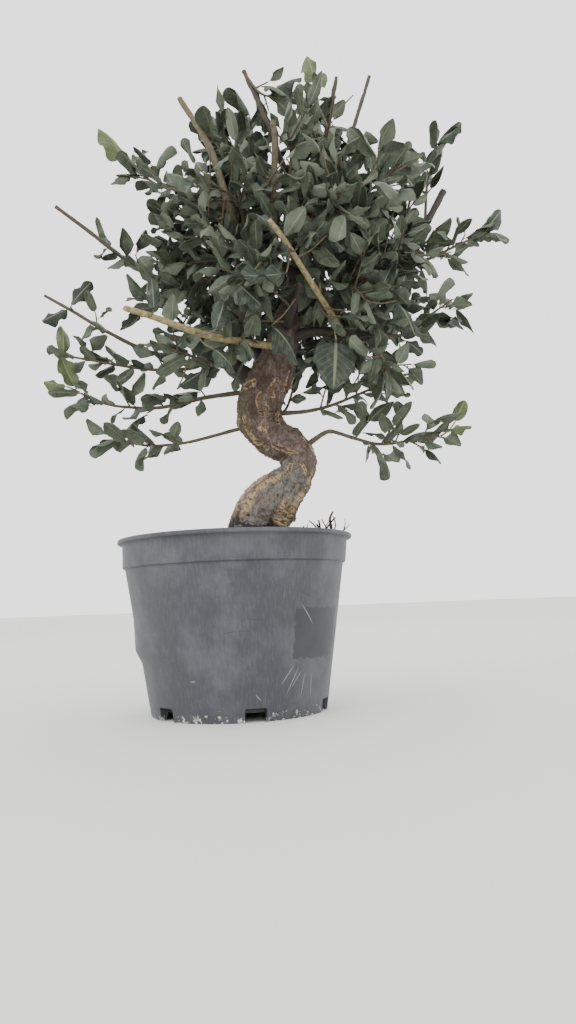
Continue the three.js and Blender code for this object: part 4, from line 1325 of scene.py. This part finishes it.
def front_leaves(stems):
    """The leaves at the front of the crown, each on a thin twig from the nearest wood."""
    points = np.vstack([stations(wood.path, 30) for wood in (*stems.values(), *BOUGHS.values())])
    limbs = []
    for foot, tip, width, face in FRONT_LEAVES:
        foot = vec(foot)
        leaf = single_leaf(foot + ((0, 0, 0), (0, 1, 0)), 0, foot, tip, width).leaves[0]
        leaf = leaf._replace(normal=leaf.normal * face)
        root = points[np.linalg.norm(points - foot, axis=1).argmin()]
        bend = (root + foot) / 2 + (0, 2, -2)
        limbs.append(Limb(vec([root, bend, foot + leaf.heading]), TWIG_THICK, [leaf]))
    return limbs


def leafy_piece(name, limbs, looks, olive_and_painted_light, models, dice, room):
    """A piece of stems with all their leaves."""
    leaves = [leaf for limb in limbs for leaf in limb.leaves if leaf.placed or has_room(leaf, *room)]
    blades = copied_leaves(name, leaves, models, dice)
    dress(blades, *looks)
    stems = stem_wood(name + "_wood", limbs, olive_and_painted_light)
    dress(stems, looks[-1])
    piece = join([blades, stems])
    smooth(piece, 70)
    return piece


def foliage(settings):
    """Every leafy stem and young shoot, and the leaves inside the crown."""
    draw, dice = Draws(SEED), np.random.default_rng(SEED)
    models = {
        kind: [
            leaf_model(f"{kind}_leaf_{n}", columns, rows, shape, settings)
            for n, shape in enumerate(shapes)
        ]
        for kind, (columns, rows, shapes) in LEAF_KINDS.items()
    }
    bark = twig_bark(settings)
    mature = (
        leaf_face("leathery_leaf_upper", "#2c342d", "#5f6757", "#7f846d", 0.5, 0, 0.3, -0.3),
        leaf_face("leathery_leaf_felted", "#444b42", "#6c7364", "#838974", 0.8, 0.15, 0.4, 0.4),
        bark,
    )
    young = (
        leaf_face("young_leaf_upper", "#535e3f", "#6c774f", "#8a9268", 0.5, 0, 0.4, -0.2),
        leaf_face("young_leaf_under", "#4e5740", "#6a7156", "#868e68", 0.7, 0.15, 0.4, 0.3),
        bark,
    )
    stems = {**STEMS, **crown_sprays(draw, CROWN, "crown")}
    rest = models, dice, (thick_wood(), rods_in_view())
    for name, wood in stems.items():
        # Painted light: rods at the front get the most olive, and sprays inside the crown the dark brown of
        # painted shade.
        olive_and_painted_light = OLIVE_AND_PAINTED_LIGHT_STEMS.get(name, 0.2)
        piece = leafy_piece(f"foliage_{name}", grow(wood, draw), mature, olive_and_painted_light, *rest)
        hand_over(piece, f"leafy_stem_{name}")
    for name, tip in SHOOTS.items():
        piece = leafy_piece(f"shoot_{name}", grow_shoot(tip), young, 0.8, *rest)
        hand_over(piece, f"young_shoot_{name}")
    inner_draw = Draws(SEED + 1)
    inner = crown_sprays(inner_draw, INNER_CROWN, "inner").values()
    grown = [grow(spray, inner_draw) for spray in inner]
    parts = [sum(grown[n::INNER_PARTS], []) for n in range(INNER_PARTS)]
    for number, limbs in enumerate([*parts, front_leaves(stems)], 1):
        piece = leafy_piece(f"inner_foliage_{number}", limbs, mature, 0.3, *rest)
        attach(piece, BODY)


# ---- Stage ----


def studio_floor(settings):
    """A wide pale floor with faint cloudy unevenness."""
    circle = bpy.ops.mesh.primitive_circle_add
    floor = start("studio_floor", circle, vertices=96, radius=FLOOR_RADIUS, fill_type="NGON")
    look = Look("pale_floor", roughness=0.8)
    wash = look.node("TexNoise", {"Vector": look.place, "Scale": 1.5, "Detail": 2})
    dress(floor, look.finish(look.blend(wash, settings.floor, "#d8d7d3")))


def soft_light(settings):
    world = bpy.data.worlds.new("soft_daylight")
    world.use_nodes = True
    background = world.node_tree.nodes["Background"].inputs
    background["Color"].default_value = linear("#f3f4f3")
    background["Strength"].default_value = settings.daylight
    bpy.context.scene.world = world
    for name, place, power, wide in (
        ("key_light", (-1.3, -1.1, 1.7), settings.key, 1.4),
        ("fill_light", (1.4, -0.7, 1.3), settings.key * 0.15, 1.4),
        ("back_light", (0.3, 1.5, 1.8), settings.key * 0.6, 1.6),
    ):
        light = start(name, bpy.ops.object.light_add, type="AREA", location=place)
        light.data.energy = power
        light.data.size = wide
        towards = Vector((0, 0, 0.3)) - Vector(place)
        light.rotation_euler = towards.to_track_quat("-Z", "Y").to_euler()


def camera(settings):
    """The camera stands where the photograph was taken from, a little below the rim of the pot."""
    seen = start("photo_camera", bpy.ops.object.camera_add, location=at(CAMERA.place))
    pitch, roll = math.radians(CAMERA.pitch), math.radians(CAMERA.roll)
    ahead = Vector((0, *polar(1, pitch)))
    level, upright = Vector((1, 0, 0)), Vector((0, -math.sin(pitch), math.cos(pitch)))
    right = level * math.cos(roll) + upright * math.sin(roll)
    above = upright * math.cos(roll) - level * math.sin(roll)
    seen.rotation_euler = Matrix((right, above, -ahead)).transposed().to_euler()
    seen.data.lens = settings.lens
    seen.data.sensor_width = 36
    seen.data.clip_start, seen.data.clip_end = 0.01, 2 * FLOOR_RADIUS
    bpy.context.scene.camera = seen


# ---- Settings ----


def colour(name, description, default):
    return FloatVectorProperty(
        name=name, description=description, default=linear(default), subtype="COLOR", size=4,
        min=0, max=1,
    )


def size(name, description, millimetres):
    return FloatProperty(
        name=name, description=description, default=millimetres * MM, unit="LENGTH",
        subtype="DISTANCE", min=0, precision=5,
    )


def count(name, description, default, least=0):
    return IntProperty(name=name, description=description, default=default, min=least)


class OakPotSettings(bpy.types.PropertyGroup):
    """What can be changed on the pot."""

    plastic: colour("Plastic", "Colour of the weathered plastic", "#393a40")
    dust: colour("Dust", "Colour of the dusty film", "#4d4e54")
    sides: count("Sides", "Facets round the pot", 160, 32)


class OakSoilSettings(bpy.types.PropertyGroup):
    """What can be changed on the soil."""

    crumb: colour("Crumbs", "Colour of the brown crumbs", "#4a3b2e")
    around: count("Around", "Vertices round the soil", 180, 32)
    rows: count("Rows", "Rows from the base to the middle", 86, 16)
    crumbs: count("Loose crumbs", "How many lie on the soil", 420)
    hairs: count("Root hairs", "How many lie on the soil", 34)


class OakBarkSettings(bpy.types.PropertyGroup):
    """What can be changed on the trunk and boughs."""

    plate: colour("Bark", "Colour of the old bark", "#7a6a62")
    lichen: colour("Lichen", "Colour of the lichen on the bark", "#77726b")
    cork: colour("Cork", "Colour of the fresh cork", "#cdb48e")
    relief: size("Relief", "Height of the ridges", 1.2)
    sides: count("Sides", "Vertices round the trunk", 120, 16)
    steps: count("Steps", "Rows along the trunk", 560, 30)


class OakFoliageSettings(bpy.types.PropertyGroup):
    """What can be changed on the leaves."""

    leaf_length: size("Leaf length", "Length of a leaf of middling size", LEAF.length)
    leaf_width: size("Leaf width", "Width of a leaf of middling size", LEAF.width)
    leaf_thickness: size("Leaf thickness", "Thickness of a blade", 0.35)
    # Partly painted: the dark twig brown stands partly for shade inside the crown, and the pale rod colour
    # partly for light on the front rods.
    twig: colour("Twigs", "Colour of brown young bark", "#38322c")
    rod: colour("Rods", "Colour of sunlit young bark", "#a2946a")


class OakStageSettings(bpy.types.PropertyGroup):
    """What can be changed on the floor, the light and the camera."""

    floor: colour("Floor", "Colour of the floor", "#dcdcda")
    lens: FloatProperty(name="Lens", description="Focal length", default=26.93, unit="CAMERA")
    key: FloatProperty(
        name="Key light", description="Strength of the large light", default=10, unit="POWER"
    )
    daylight: FloatProperty(name="Daylight", description="Strength of the sky's light", default=2.4)


# ---- Operators ----


class OAK_OT_stage(bpy.types.Operator):
    """Set up the floor, the soft light and the camera"""

    bl_idname = "oak.stage"
    bl_label = "Stage"

    def execute(self, context):
        for part in (studio_floor, soft_light, camera):
            part(context.scene.oak_stage)
        return {"FINISHED"}


class OAK_OT_pot(bpy.types.Operator):
    """Build the nursery pot"""

    bl_idname = "oak.pot"
    bl_label = "Pot"

    def execute(self, context):
        nursery_pot(context.scene.oak_pot)
        return {"FINISHED"}


class OAK_OT_soil(bpy.types.Operator):
    """Build the soil with its crumbs and roots"""

    bl_idname = "oak.soil"
    bl_label = "Soil"

    def execute(self, context):
        potting_soil(context.scene.oak_soil)
        return {"FINISHED"}


class OAK_OT_wood(bpy.types.Operator):
    """Build the corky trunk and its bare boughs"""

    bl_idname = "oak.wood"
    bl_label = "Trunk and boughs"

    def execute(self, context):
        corky_wood(context.scene.oak_bark, twig_bark(context.scene.oak_foliage))
        return {"FINISHED"}


class OAK_OT_foliage(bpy.types.Operator):
    """Build every leafy stem and young shoot"""

    bl_idname = "oak.foliage"
    bl_label = "Foliage"

    def execute(self, context):
        foliage(context.scene.oak_foliage)
        return {"FINISHED"}


# ---- Panel and registration ----


class OAK_PT_panel(bpy.types.Panel):
    """Lists the steps that build the tree"""

    bl_idname = "OAK_PT_panel"
    bl_label = "Cork Oak Bonsai"
    bl_space_type = "VIEW_3D"
    bl_region_type = "UI"
    bl_category = "Cork Oak"

    def draw(self, context):
        for settings, (_, operator) in STEPS.items():
            box = self.layout.box()
            box.operator(operator.bl_idname)
            group = getattr(context.scene, settings)
            for name in group.__annotations__:
                box.prop(group, name)


STEPS = {
    "oak_stage": (OakStageSettings, OAK_OT_stage),
    "oak_pot": (OakPotSettings, OAK_OT_pot),
    "oak_soil": (OakSoilSettings, OAK_OT_soil),
    "oak_bark": (OakBarkSettings, OAK_OT_wood),
    "oak_foliage": (OakFoliageSettings, OAK_OT_foliage),
}


def register():
    for name, (group, operator) in STEPS.items():
        bpy.utils.register_class(group)
        setattr(bpy.types.Scene, name, PointerProperty(type=group))
        bpy.utils.register_class(operator)
    bpy.utils.register_class(OAK_PT_panel)


def unregister():
    bpy.utils.unregister_class(OAK_PT_panel)
    for name, (group, operator) in reversed(STEPS.items()):
        bpy.utils.unregister_class(operator)
        delattr(bpy.types.Scene, name)
        bpy.utils.unregister_class(group)


def main():
    register()
    bpy.ops.oak.stage()
    bpy.ops.oak.pot()
    bpy.ops.oak.soil()
    bpy.ops.oak.wood()
    bpy.ops.oak.foliage()


if __name__ == "__main__":
    main()
